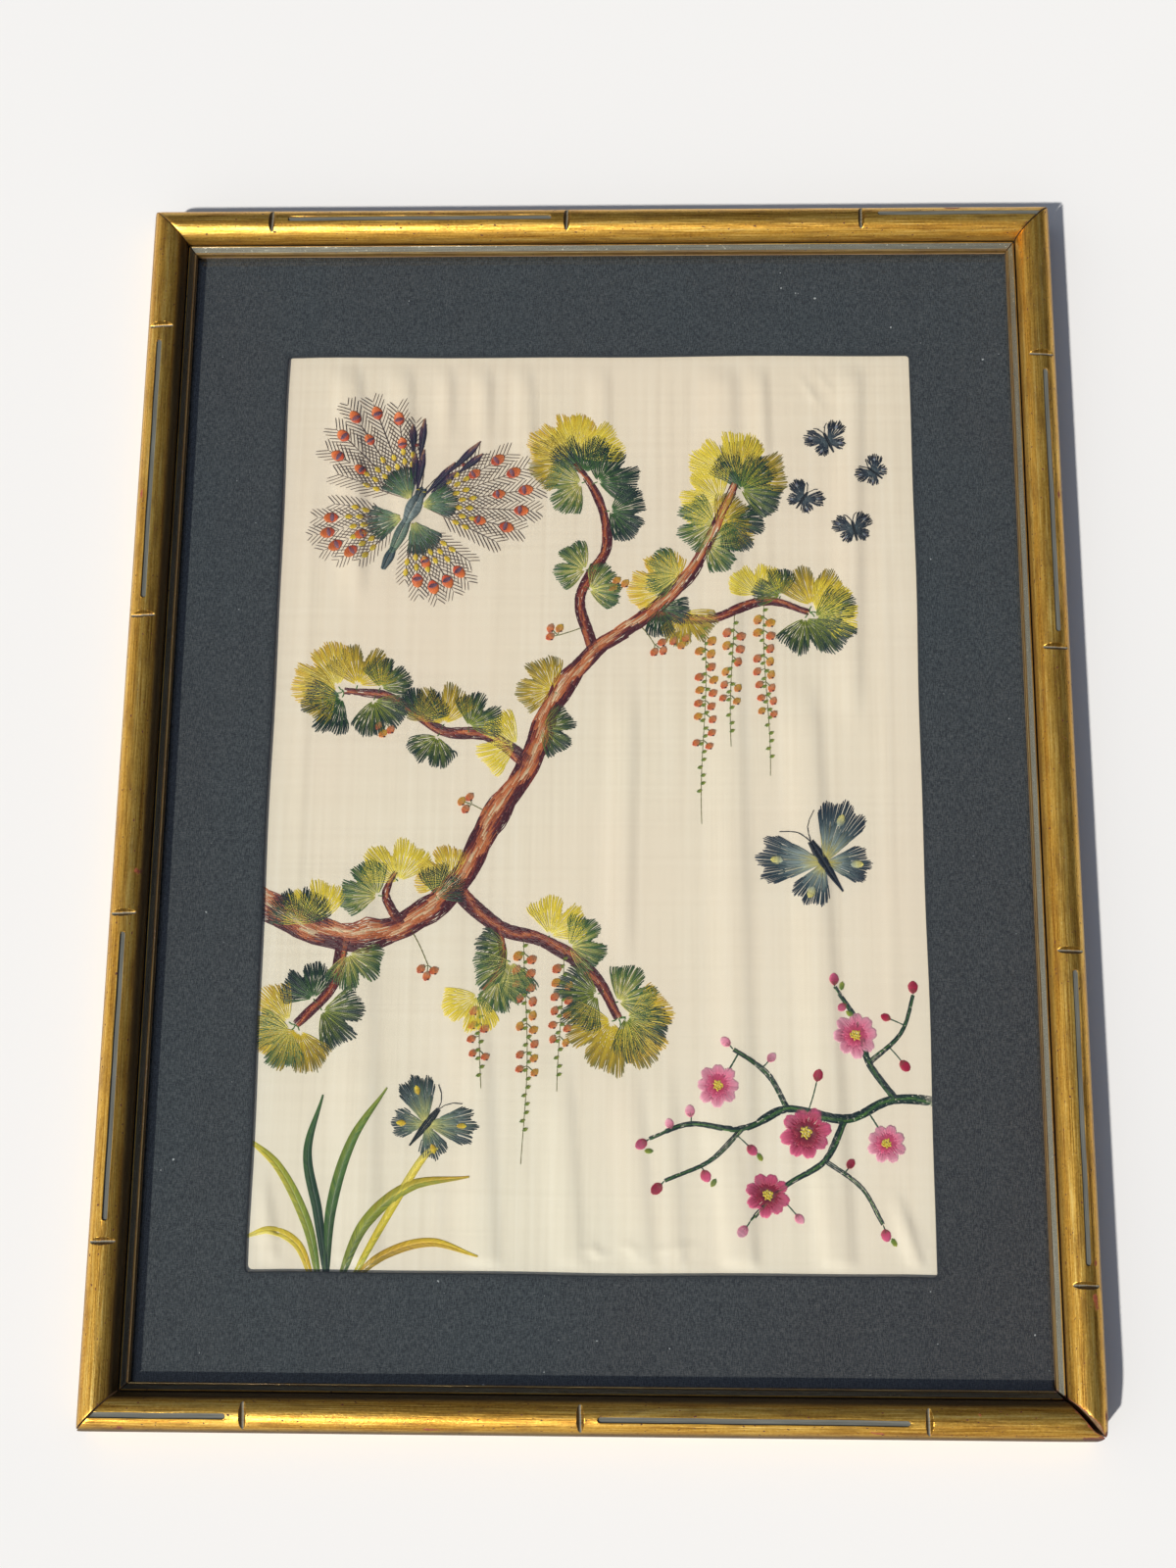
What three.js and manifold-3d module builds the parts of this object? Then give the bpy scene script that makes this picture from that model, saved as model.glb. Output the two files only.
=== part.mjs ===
// Framed silk embroidery lying on its back, picture upwards. Four mitred rails of gilt
// bamboo-style moulding hold the glass, a cloth-covered window mat, the silk and a board.
// X is the picture's width, Y its height and Z points out of the picture. The origin is
// the middle of the frame's back face.
import * as THREE from 'three';
import { mergeVertices } from 'three/addons/utils/BufferGeometryUtils.js';
import Module from 'manifold-3d';

const wasm = await Module();
wasm.setup();

// Driving dimensions, in millimetres
const frameWidth = 384;
const frameHeight = 505;
const gap = 0.3;

// Moulding section: u runs inwards from the frame's outer side, z up from its back
const mouldingWidth = 17.9;
const beadRadius = 7.2;
const beadCentreHeight = 14.9;
const beadInnerAngle = THREE.MathUtils.degToRad(-20);
const groove = { u: 14.8, z: 12.3 };
const lipCrest = { from: 15.0, to: 15.5, z: 14.05 };
const lipFoot = { u: 17.2, z: 12.1 };
const sightEdgeHeight = 11.6;
const rebateDepth = 9.1;
const rebateWidth = 5;
const backEase = 0.5;
const crownHeight = beadCentreHeight + beadRadius;

// Cross notches of the bead, cut with a round tool, and its long flat slits
const notchRadius = 1.35;
const notchDepth = 2;
const slitWidth = 2;
const slitDepth = 0.8;
const cutMargin = 1;

// Flat stack in the rebate, from the back to the glass
const sideClearance = 0.4;
const boardBack = 0.5;
const boardThickness = 2.8;
const silkThickness = 1;
const silkWidth = 300;
const silkHeight = 416;
const matThickness = 1.6;
const glassThickness = 2;

// Window of the mat: its straight sides, the radius of its corners and how far the
// cloth's turned edge wanders
const windowSides = { left: -133, right: 132, bottom: -193.5, top: 189 };
const windowCornerRadius = 1.5;
const windowStep = 14;
const windowWaves = [
  { height: 0.21, stretch: 33, shift: 1 },
  { height: 0.14, stretch: 14, shift: 2 },
];

// Folds that stand up in the silk. Each runs from one point to another and dies away at
// both ends and at the mat.
const silkFolds = [
  { x1: -103, y1: 215, x2: -100, y2: 70, halfWidth: 12, height: 0.9 },
  { x1: -80, y1: 215, x2: -78, y2: 85, halfWidth: 11, height: 0.7 },
  { x1: -62, y1: 212, x2: -61, y2: 130, halfWidth: 9, height: 0.35 },
  { x1: -36, y1: 212, x2: -36, y2: 120, halfWidth: 10, height: 0.3 },
  { x1: 5, y1: 212, x2: 8, y2: 60, halfWidth: 13, height: 0.4 },
  { x1: 54, y1: 215, x2: 61, y2: -215, halfWidth: 14, height: 0.55 },
  { x1: 110, y1: 215, x2: 104, y2: 20, halfWidth: 12, height: 0.5 },
  { x1: 88, y1: 10, x2: 98, y2: -212, halfWidth: 15, height: 0.6 },
  { x1: 14, y1: 50, x2: 12, y2: -70, halfWidth: 11, height: 0.35 },
  { x1: -94, y1: -30, x2: -92, y2: -215, halfWidth: 20, height: 0.35 },
  { x1: -30, y1: -90, x2: -24, y2: -215, halfWidth: 22, height: 0.3 },
  { x1: -133, y1: -196, x2: -114, y2: -160, halfWidth: 9, height: 0.45 },
  { x1: 131, y1: -198, x2: 121, y2: -160, halfWidth: 9, height: 0.5 },
];
const foldFade = 30;
const silkEdgeFade = 9;
const silkColumns = 64;
const silkRows = 20;

// How far each corner's mitre stands open, along either rail, and the corner's rounding
const mitres = {
  topLeft: { outer: 0.3, inner: 0.25, rounding: 1 },
  topRight: { outer: 0.4, inner: 0.25, rounding: 1 },
  bottomLeft: { outer: 0.45, inner: 0.3, rounding: 1.2 },
  bottomRight: { outer: 1.3, inner: 0.35, rounding: 2.4 },
};

// Rails as seen from their outer side, with the turn about Z that puts each in its place.
// Notches and slits are measured from the rail's middle; a slit with a far end past the
// rail runs out through the mitre. inset is the slit's distance from the outer side.
const rails = [
  {
    name: 'rail_top', turn: 180, length: frameWidth, offset: frameHeight / 2,
    start: mitres.topRight, end: mitres.topLeft,
    notches: [-111.7, 13.7, 140.2],
    slits: [{ from: -210, to: -118.6, inset: 6.1, slant: 0 },
      { from: 20.4, to: 133.3, inset: 6.4, slant: 0.1 }],
  },
  {
    name: 'rail_bottom', turn: 0, length: frameWidth, offset: frameHeight / 2,
    start: mitres.bottomLeft, end: mitres.bottomRight,
    notches: [-128.7, -3.2, 125.3],
    slits: [{ from: -210, to: -135.1, inset: 6.2, slant: 0 },
      { from: 3.2, to: 118.4, inset: 6.2, slant: -0.15 }],
  },
  {
    name: 'rail_left', turn: -90, length: frameHeight, offset: frameWidth / 2,
    start: mitres.topLeft, end: mitres.bottomLeft,
    notches: [-196.9, -67.6, 56.3, 183.1],
    slits: [{ from: -189.9, to: -74.7, inset: 5.9, slant: 0.15 },
      { from: 64, to: 175.4, inset: 6.2, slant: 0.1 }],
  },
  {
    name: 'rail_right', turn: 90, length: frameHeight, offset: frameWidth / 2,
    start: mitres.bottomRight, end: mitres.topRight,
    notches: [-196.4, -69.9, 53.7, 182.3],
    slits: [{ from: -189.2, to: -77.6, inset: 6.5, slant: -0.15 },
      { from: 60.1, to: 175.1, inset: 6.6, slant: 0.1 }],
  },
];

const gilt = new THREE.MeshStandardMaterial({ color: 0xb08a3c, roughness: 0.42, metalness: 0.75 });
const clearGlass = new THREE.MeshStandardMaterial({
  color: 0xe8efec, roughness: 0.05, metalness: 0, transparent: true, opacity: 0.25,
});
const slateCloth = new THREE.MeshStandardMaterial({ color: 0x42484e, roughness: 0.9, metalness: 0 });
const ivorySilk = new THREE.MeshStandardMaterial({ color: 0xeee4cf, roughness: 0.55, metalness: 0 });
const brownBoard = new THREE.MeshStandardMaterial({ color: 0x8a6a4a, roughness: 0.85, metalness: 0 });

// A manifold solid from a closed geometry
function solidOf(geometry) {
  geometry.deleteAttribute('normal');
  geometry.deleteAttribute('uv');
  const merged = mergeVertices(geometry);
  return new wasm.Manifold(new wasm.Mesh({
    numProp: 3,
    vertProperties: merged.attributes.position.array,
    triVerts: new Uint32Array(merged.index.array),
  }));
}

function geometryOf(solid) {
  const mesh = solid.getMesh();
  const geometry = new THREE.BufferGeometry();
  geometry.setAttribute('position', new THREE.BufferAttribute(mesh.vertProperties, 3));
  geometry.setIndex(new THREE.BufferAttribute(mesh.triVerts, 1));
  geometry.computeVertexNormals();
  return geometry;
}

function mouldingSection() {
  const rebateWall = mouldingWidth - rebateWidth;
  const section = new THREE.Shape();
  section.moveTo(backEase, 0);
  section.lineTo(rebateWall, 0);
  section.lineTo(rebateWall, rebateDepth);
  section.lineTo(mouldingWidth, rebateDepth);
  section.lineTo(mouldingWidth, sightEdgeHeight);
  section.lineTo(lipFoot.u, lipFoot.z);
  section.lineTo(lipCrest.to, lipCrest.z);
  section.lineTo(lipCrest.from, lipCrest.z);
  section.lineTo(groove.u, groove.z);
  section.absarc(beadRadius, beadCentreHeight, beadRadius, beadInnerAngle, Math.PI, false);
  section.lineTo(0, backEase);
  section.closePath();
  return section;
}

// Plan of a rail: its outer side on y = 0, its ends mitred at 45 degrees and rounded at
// the frame's corners
function railPlan(length, start, end) {
  const arcSteps = 3;
  const half = length / 2;
  const rightEnd = [];
  const leftEnd = [];
  for (let step = 0; step <= arcSteps; step += 1) {
    const angle = (Math.PI / 4) * (step / arcSteps);
    const reach = 1 - Math.sin(angle);
    const rise = 1 - Math.cos(angle);
    rightEnd.push(new THREE.Vector2(half - end.outer - end.rounding * reach, end.rounding * rise));
    leftEnd.push(new THREE.Vector2(-half + start.outer + start.rounding * reach, start.rounding * rise));
  }
  const depth = mouldingWidth + cutMargin;
  rightEnd.push(new THREE.Vector2(half - end.inner - depth, depth));
  leftEnd.push(new THREE.Vector2(-half + start.inner + depth, depth));
  return new THREE.Shape([...rightEnd, ...leftEnd.reverse()]);
}

// A straight bar with round ends, seen from above
function slitPlan(length, width) {
  const radius = width / 2;
  const plan = new THREE.Shape();
  plan.absarc(length / 2 - radius, 0, radius, -Math.PI / 2, Math.PI / 2, false);
  plan.absarc(-length / 2 + radius, 0, radius, Math.PI / 2, 1.5 * Math.PI, false);
  return plan;
}

function notchCutter(position) {
  const cutter = new THREE.CylinderGeometry(notchRadius, notchRadius, 2 * mouldingWidth, 16);
  cutter.translate(position, beadRadius, crownHeight - notchDepth + notchRadius);
  return solidOf(cutter);
}

function slitCutter(slit) {
  const length = slit.to - slit.from;
  const cutter = new THREE.ExtrudeGeometry(slitPlan(length, slitWidth), {
    depth: beadRadius, bevelEnabled: false, curveSegments: 4,
  });
  cutter.rotateZ(THREE.MathUtils.degToRad(slit.slant));
  cutter.translate((slit.from + slit.to) / 2, slit.inset, crownHeight - slitDepth);
  return solidOf(cutter);
}

// One rail along X with its outer side on y = 0, before it is turned into its place
function railGeometry(rail) {
  const bar = new THREE.ExtrudeGeometry(mouldingSection(), {
    depth: rail.length, bevelEnabled: false, curveSegments: 11,
  });
  bar.translate(0, 0, -rail.length / 2);
  bar.applyMatrix4(new THREE.Matrix4().makeBasis(
    new THREE.Vector3(0, 1, 0), new THREE.Vector3(0, 0, 1), new THREE.Vector3(1, 0, 0),
  ));
  const plan = new THREE.ExtrudeGeometry(railPlan(rail.length, rail.start, rail.end), {
    depth: crownHeight + 2 * cutMargin, bevelEnabled: false,
  });
  plan.translate(0, 0, -cutMargin);
  let solid = solidOf(bar).intersect(solidOf(plan));
  for (const position of rail.notches) {
    solid = solid.subtract(notchCutter(position));
  }
  for (const slit of rail.slits) {
    solid = solid.subtract(slitCutter(slit));
  }
  return geometryOf(solid);
}

// A rail stands off the middle by its offset, in the direction that its turn gives
function makeRail(rail) {
  const mesh = new THREE.Mesh(railGeometry(rail), gilt);
  const turn = THREE.MathUtils.degToRad(rail.turn);
  mesh.name = rail.name;
  mesh.rotation.z = turn;
  mesh.position.set(Math.sin(turn) * rail.offset, -Math.cos(turn) * rail.offset, 0);
  return mesh;
}

// Width and height of what lies in the rebate
function rebateFill() {
  const border = 2 * (mouldingWidth - rebateWidth + sideClearance);
  return { width: frameWidth - border, height: frameHeight - border };
}

// A plain sheet that fills the rebate, with its underside at the height given
function makeSheet(name, bottom, thickness, material) {
  const fill = rebateFill();
  const mesh = new THREE.Mesh(new THREE.BoxGeometry(fill.width, fill.height, thickness), material);
  mesh.name = name;
  mesh.position.z = bottom + thickness / 2;
  return mesh;
}

// How far the mat's turned edge stands off its straight line, at a place along that line
function edgeSway(along, phase) {
  return windowWaves.reduce(
    (sum, wave) => sum + wave.height * Math.sin(along / wave.stretch + wave.shift * phase), 0,
  );
}

// Window of the mat, anticlockwise from its lower left corner
function windowOutline() {
  const { left, right, bottom, top } = windowSides;
  const corner = windowCornerRadius;
  const sides = [
    { x: left, y: bottom, dx: 1, dy: 0, length: right - left, phase: 0.4 },
    { x: right, y: bottom, dx: 0, dy: 1, length: top - bottom, phase: 1.9 },
    { x: right, y: top, dx: -1, dy: 0, length: right - left, phase: 3.1 },
    { x: left, y: top, dx: 0, dy: -1, length: top - bottom, phase: 4.6 },
  ];
  const points = [];
  for (const side of sides) {
    const straight = side.length - 2 * corner;
    const steps = Math.round(straight / windowStep);
    for (let step = 0; step <= steps; step += 1) {
      const along = corner + (straight * step) / steps;
      const calm = Math.min(1, Math.min(along, side.length - along) / windowStep);
      const sway = calm * edgeSway(along, side.phase);
      points.push(new THREE.Vector2(
        side.x + side.dx * along - side.dy * sway,
        side.y + side.dy * along + side.dx * sway,
      ));
    }
  }
  return points;
}

function makeMat(bottom) {
  const fill = rebateFill();
  const sheet = new THREE.Shape([
    new THREE.Vector2(-fill.width / 2, -fill.height / 2),
    new THREE.Vector2(fill.width / 2, -fill.height / 2),
    new THREE.Vector2(fill.width / 2, fill.height / 2),
    new THREE.Vector2(-fill.width / 2, fill.height / 2),
  ]);
  sheet.holes.push(new THREE.Path(windowOutline()));
  const geometry = new THREE.ExtrudeGeometry(sheet, { depth: matThickness, bevelEnabled: false });
  const mesh = new THREE.Mesh(geometry, slateCloth);
  mesh.name = 'window_mat';
  mesh.position.z = bottom;
  return mesh;
}

// Height of one fold at a point: a round ridge that dies away towards both ends
function foldHeight(fold, x, y) {
  const dx = fold.x2 - fold.x1;
  const dy = fold.y2 - fold.y1;
  const length = Math.hypot(dx, dy);
  const along = ((x - fold.x1) * dx + (y - fold.y1) * dy) / length;
  const across = ((x - fold.x1) * dy - (y - fold.y1) * dx) / length;
  if (along <= 0 || along >= length || Math.abs(across) >= fold.halfWidth) {
    return 0;
  }
  const fade = Math.min(foldFade, length / 2);
  const ends = THREE.MathUtils.smoothstep(Math.min(along, length - along), 0, fade);
  return fold.height * ends * 0.5 * (1 + Math.cos((Math.PI * across) / fold.halfWidth));
}

// Height of the silk over its flat lie: all folds, pressed flat at and under the mat
function silkRise(x, y) {
  const { left, right, bottom, top } = windowSides;
  const inside = Math.min(x - left, right - x, y - bottom, top - y) - windowCornerRadius;
  const free = THREE.MathUtils.smoothstep(inside, 0, silkEdgeFade);
  return free * silkFolds.reduce((sum, fold) => sum + foldHeight(fold, x, y), 0);
}

function makeSilk(bottom) {
  const geometry = new THREE.BoxGeometry(
    silkWidth, silkHeight, silkThickness, silkColumns, silkRows, 1,
  );
  const points = geometry.attributes.position;
  for (let index = 0; index < points.count; index += 1) {
    points.setZ(index, points.getZ(index) + silkRise(points.getX(index), points.getY(index)));
  }
  geometry.computeVertexNormals();
  const mesh = new THREE.Mesh(geometry, ivorySilk);
  mesh.name = 'silk_panel';
  mesh.position.z = bottom + silkThickness / 2;
  return mesh;
}

const silkBottom = boardBack + boardThickness + gap;
const matBottom = silkBottom + silkThickness + gap;
const glassBottom = matBottom + matThickness + gap;

const framedEmbroidery = new THREE.Group();
for (const rail of rails) {
  framedEmbroidery.add(makeRail(rail));
}
framedEmbroidery.add(makeSheet('backing_board', boardBack, boardThickness, brownBoard));
framedEmbroidery.add(makeSilk(silkBottom));
framedEmbroidery.add(makeMat(matBottom));
framedEmbroidery.add(makeSheet('glass_pane', glassBottom, glassThickness, clearGlass));

export default framedEmbroidery;
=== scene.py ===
# Framed silk embroidery: gilt rails, glass, slate cloth mat, rippled ivory silk and the
# thread work on it. Sizes are in millimetres and become metres where a mesh is made.
import math

import bmesh
import bpy
import numpy as np
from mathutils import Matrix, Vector


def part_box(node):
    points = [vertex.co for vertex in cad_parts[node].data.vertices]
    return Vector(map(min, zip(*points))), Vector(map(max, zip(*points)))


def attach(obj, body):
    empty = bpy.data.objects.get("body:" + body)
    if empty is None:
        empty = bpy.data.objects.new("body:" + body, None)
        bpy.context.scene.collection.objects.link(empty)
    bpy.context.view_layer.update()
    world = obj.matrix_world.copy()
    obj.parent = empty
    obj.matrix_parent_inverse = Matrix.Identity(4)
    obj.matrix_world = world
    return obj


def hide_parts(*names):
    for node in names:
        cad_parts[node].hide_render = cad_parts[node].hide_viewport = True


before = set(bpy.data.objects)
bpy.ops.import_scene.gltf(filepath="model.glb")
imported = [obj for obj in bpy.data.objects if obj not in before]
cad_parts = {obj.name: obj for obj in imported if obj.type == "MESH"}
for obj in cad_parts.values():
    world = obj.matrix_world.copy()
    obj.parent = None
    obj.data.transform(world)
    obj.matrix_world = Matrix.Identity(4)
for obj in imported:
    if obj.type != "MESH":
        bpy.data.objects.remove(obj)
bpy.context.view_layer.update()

MM = 0.001
rng = np.random.default_rng(21)


# Places that the frame gives, in millimetres

def node_box(name):
    low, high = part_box(name)
    return np.array(low) / MM, np.array(high) / MM


FRAME_WIDTH = 2 * node_box("rail_right")[1][0]
FRAME_HEIGHT = 2 * node_box("rail_top")[1][1]
CROWN = node_box("rail_top")[1][2]
MAT_LOW, MAT_HIGH = node_box("window_mat")
SILK_LOW, SILK_HIGH = node_box("silk_panel")
GLASS_BOTTOM = node_box("glass_pane")[0][2]
SILK_THICKNESS = 1.0
SILK_TOP = SILK_LOW[2] + SILK_THICKNESS

# Window of the mat
WINDOW_LEFT, WINDOW_RIGHT, WINDOW_BOTTOM, WINDOW_TOP = -133.0, 132.0, -193.5, 189.0
WINDOW_CORNER = 1.5


# Mesh helpers

def make_piece(name, points, faces, material, smooth=True):
    """A mesh object from points in millimetres and faces as lists of point numbers."""
    mesh = bpy.data.meshes.new(name)
    mesh.from_pydata((np.asarray(points, float) * MM).tolist(), [], faces)
    mesh.polygons.foreach_set("use_smooth", [smooth] * len(mesh.polygons))
    mesh.validate()
    mesh.materials.append(material)
    piece = bpy.data.objects.new(name, mesh)
    bpy.context.scene.collection.objects.link(piece)
    return piece


def grid_quads(rows, columns, first=0, around=False):
    """Faces of a grid of points, numbered row by row; around joins the last column to the first."""
    index = np.arange(rows * columns).reshape(rows, columns) + first
    if around:
        index = np.concatenate([index, index[:, :1]], axis=1)
    corners = [index[:-1, :-1], index[:-1, 1:], index[1:, 1:], index[1:, :-1]]
    return np.stack(corners, axis=-1).reshape(-1, 4)


def give_attribute(piece, name, values):
    """A value, vector or colour for each point, which the material reads by its name."""
    kinds = {1: ("FLOAT", "value"), 3: ("FLOAT_VECTOR", "vector"), 4: ("FLOAT_COLOR", "color")}
    values = np.asarray(values, np.float32)
    kind, field = kinds[values.size // len(values)]
    piece.data.attributes.new(name, kind, "POINT").data.foreach_set(field, values.ravel())


def mark_sharp_edges(piece, degrees):
    """Edges that turn by more than this stay crisp under smooth shading."""
    work = bmesh.new()
    work.from_mesh(piece.data)
    for edge in work.edges:
        edge.smooth = not (edge.is_manifold and edge.calc_face_angle(0) > math.radians(degrees))
    work.to_mesh(piece.data)
    work.free()


def settle(piece, slot, *stands_for):
    """The piece rides on the part's only body and may stand for nodes; the slot is not used."""
    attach(piece, "root")
    if stands_for:
        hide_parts(*stands_for)


def smoothstep(x, low, high):
    t = np.clip((np.asarray(x, float) - low) / (high - low), 0, 1)
    return t * t * (3 - 2 * t)


def fade(x, low, high):
    """Falls from 1 to 0 as x goes from low to high."""
    return 1 - smoothstep(x, low, high)


def hump(x, width):
    """A bell of height 1 at x = 0."""
    return np.exp(-(x / width) ** 2)


# Material helpers

class Nodes:
    """Short calls that add shader nodes to a material or world."""

    def __init__(self, owner, space=None):
        owner.use_nodes = True
        self.owner, self.tree, self.space = owner, owner.node_tree, space

    def feed(self, socket, value):
        if isinstance(value, bpy.types.NodeSocket):
            self.tree.links.new(value, socket)
        elif socket.type == "RGBA" and len(value) == 3:
            socket.default_value = (*value, 1.0)
        else:
            socket.default_value = value

    def put(self, kind, inputs, output=0, **settings):
        """Adds a node whose inputs map socket names or numbers to values; gives one output."""
        node = self.tree.nodes.new("ShaderNode" + kind)
        for key, value in settings.items():
            setattr(node, key, value)
        for key, value in inputs.items():
            self.feed(node.inputs[key], value)
        return node.outputs[output] if node.outputs else None

    def named(self, name, output="Fac"):
        return self.put("Attribute", {}, output, attribute_name=name)

    def place(self, scale=(1, 1, 1)):
        """Texture space: the object's own place or a named attribute, scaled along each axis."""
        source = self.named(self.space, "Vector") if self.space else self.put("TexCoord", {}, "Object")
        return self.put("Mapping", {"Vector": source, "Scale": scale})

    def noise(self, scale, detail=3.0, roughness=0.55, distortion=0.0):
        return self.put("TexNoise", {
            "Vector": self.place(scale), "Scale": 1.0, "Detail": detail, "Roughness": roughness,
            "Distortion": distortion,
        }, "Fac")

    def spread(self, value, low, high, to_low=0.0, to_high=1.0):
        return self.put("MapRange", {
            "Value": value, "From Min": low, "From Max": high, "To Min": to_low, "To Max": to_high,
        })

    def math(self, operation, first, second):
        return self.put("Math", {0: first, 1: second}, operation=operation)

    def weigh(self, first, share, second):
        return self.math("ADD", self.math("MULTIPLY", first, share),
                         self.math("MULTIPLY", second, 1 - share))

    def vector_math(self, operation, first, second, output="Value"):
        return self.put("VectorMath", {0: first, 1: Vector(second)}, output, operation=operation)

    def blend(self, share, first, second, mode="MIX"):
        return self.put("Mix", {"Factor": share, "A": first, "B": second}, "Result",
                        data_type="RGBA", blend_type=mode)

    def ramp(self, value, *stops):
        """Colours by value; each stop is a position and its red, green and blue."""
        node = self.put("ValToRGB", {"Fac": value}).node
        elements = node.color_ramp.elements
        while len(elements) < len(stops):
            elements.new(0.5)
        for element, (position, *colour) in zip(elements, stops):
            element.position = position
            element.color = (*colour, 1.0)
        return node.outputs["Color"]

    def bump(self, height, distance, strength):
        return self.put("Bump", {"Height": height, "Distance": distance * MM, "Strength": strength})

    def surface(self, **inputs):
        """Sets the shader's inputs, with _ for a space in their names, and gives the material."""
        shader = self.tree.nodes["Principled BSDF"]
        for name, value in inputs.items():
            self.feed(shader.inputs[name.replace("_", " ")], value)
        return self.owner


def new_look(name, space=None):
    return Nodes(bpy.data.materials.new(name), space)


# Materials. Texture spaces are scaled so that one unit is one grain of the detail.

# Shares that the rails carry: grey paint, painted shade, raw wood, wear and the satin lip
RAIL_SHARES = ("paint", "dark", "raw", "edge", "satin")


def gilt_material():
    """Antique gold leaf over red ground, with grey paint, painted shade that darkens the groove and shaded
    places, and raw wood.
    """
    look = new_look("antique_gilt", "lay")
    streak = look.noise((0.040, 2.6, 1.0), 4, 0.65)
    band = look.noise((0.010, 0.55, 1.0), 2, 0.5)
    cloud = look.noise((0.07, 0.28, 1.0), 4, 0.65)
    speck = look.noise((0.8, 1.4, 1.0), 3, 0.6)
    paint, dark, raw, edge, satin = (look.named(name) for name in RAIL_SHARES)
    tone = look.math("ADD", look.weigh(streak, 0.60, band), look.spread(speck, 0.3, 0.7, -0.05, 0.05))
    gold = look.ramp(tone, (0.35, 0.36, 0.158, 0.022), (0.45, 0.68, 0.350, 0.052),
                     (0.55, 0.90, 0.545, 0.105), (0.66, 1.00, 0.725, 0.235))
    worn = look.math("ADD", edge, look.spread(cloud, 0.4, 0.8, -0.35, 0.15))
    worn = look.math("ADD", worn, look.spread(speck, 0.3, 0.7, -0.3, 0.3))
    worn = look.spread(worn, 0.52, 0.66)
    bole = look.ramp(speck, (0.35, 0.25, 0.036, 0.020), (0.65, 0.42, 0.115, 0.045))
    pits = look.spread(look.noise((0.55, 0.95, 1.0), 1, 0.4), 0.69, 0.735)
    grey = look.ramp(streak, (0.3, 0.10, 0.105, 0.09), (0.55, 0.20, 0.21, 0.185), (0.75, 0.30, 0.30, 0.26))
    silver = look.ramp(streak, (0.3, 0.28, 0.28, 0.235), (0.7, 0.45, 0.45, 0.38))
    grain = look.noise((0.03, 2.2, 2.2), 4, 0.6)
    wood = look.ramp(grain, (0.3, 0.26, 0.145, 0.085), (0.7, 0.52, 0.35, 0.23))
    colour = gold
    for share, over in (
        (look.spread(cloud, 0.48, 0.68, 0.0, 0.6), (0.38, 0.185, 0.045)),
        (look.spread(look.noise((0.9, 2.2, 1.0), 2, 0.5), 0.70, 0.76, 0.0, 0.8), (1.0, 0.83, 0.36)),
        (worn, bole), (pits, (0.10, 0.022, 0.010)), (paint, grey), (satin, silver),
        # Painted shade: near black where the rails carry their painted shade share
        (dark, (0.020, 0.014, 0.009)), (raw, wood),
    ):
        colour = look.blend(share, colour, over)
    bare = look.math("MULTIPLY", dark, 0.6)
    for share in (paint, raw, worn, pits):
        bare = look.math("MAXIMUM", bare, share)
    metal = look.math("MAXIMUM", look.spread(bare, 0.0, 1.0, 0.92, 0.0), look.math("MULTIPLY", satin, 0.80))
    rough = look.math("ADD", look.spread(streak, 0.3, 0.7, 0.25, 0.43), look.math("MULTIPLY", bare, 0.30))
    rough = look.math("SUBTRACT", rough, look.math("MULTIPLY", satin, 0.12))
    return look.surface(Base_Color=colour, Metallic=metal, Roughness=rough,
                        Normal=look.bump(look.weigh(streak, 0.6, speck), 0.20, 0.7))


def mat_material():
    """Slate-blue cloth with fine upright slubs and a few pale specks of lint."""
    look = new_look("slate_cloth")
    cloth = look.weigh(look.noise((3500, 560, 500), 3, 0.7), 0.6, look.noise((600, 3600, 500), 3, 0.7))
    colour = look.ramp(cloth, (0.41, 0.012, 0.014, 0.016), (0.5, 0.038, 0.043, 0.046),
                       (0.59, 0.088, 0.093, 0.096))
    # The cloth turns warmer and darker towards the lower right, with soft blotches
    corner = look.vector_math("DOT_PRODUCT", look.place(), (1, -0.6, 0))
    warm_dark = look.math("ADD", look.spread(look.noise((14, 9, 10), 4, 0.6), 0.40, 0.7, 0.0, 0.35),
                     look.spread(corner, 0.10, 0.30, 0.0, 0.8))
    tint = look.ramp(warm_dark, (0.0, 0.97, 1.02, 1.02), (0.35, 1.03, 0.99, 0.96), (1.0, 0.98, 0.84, 0.77))
    colour = look.blend(1.0, colour, tint, "MULTIPLY")
    colour = look.blend(look.named("turn_in"), colour, (0.010, 0.012, 0.014))
    lint = look.spread(look.noise((420, 420, 420), 1, 0.3), 0.815, 0.835)
    colour = look.blend(lint, colour, (0.45, 0.47, 0.48))
    return look.surface(Base_Color=colour, Roughness=0.85, Specular_IOR_Level=0.25, Sheen_Weight=0.15,
                        Normal=look.bump(cloth, 0.12, 0.7))


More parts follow.
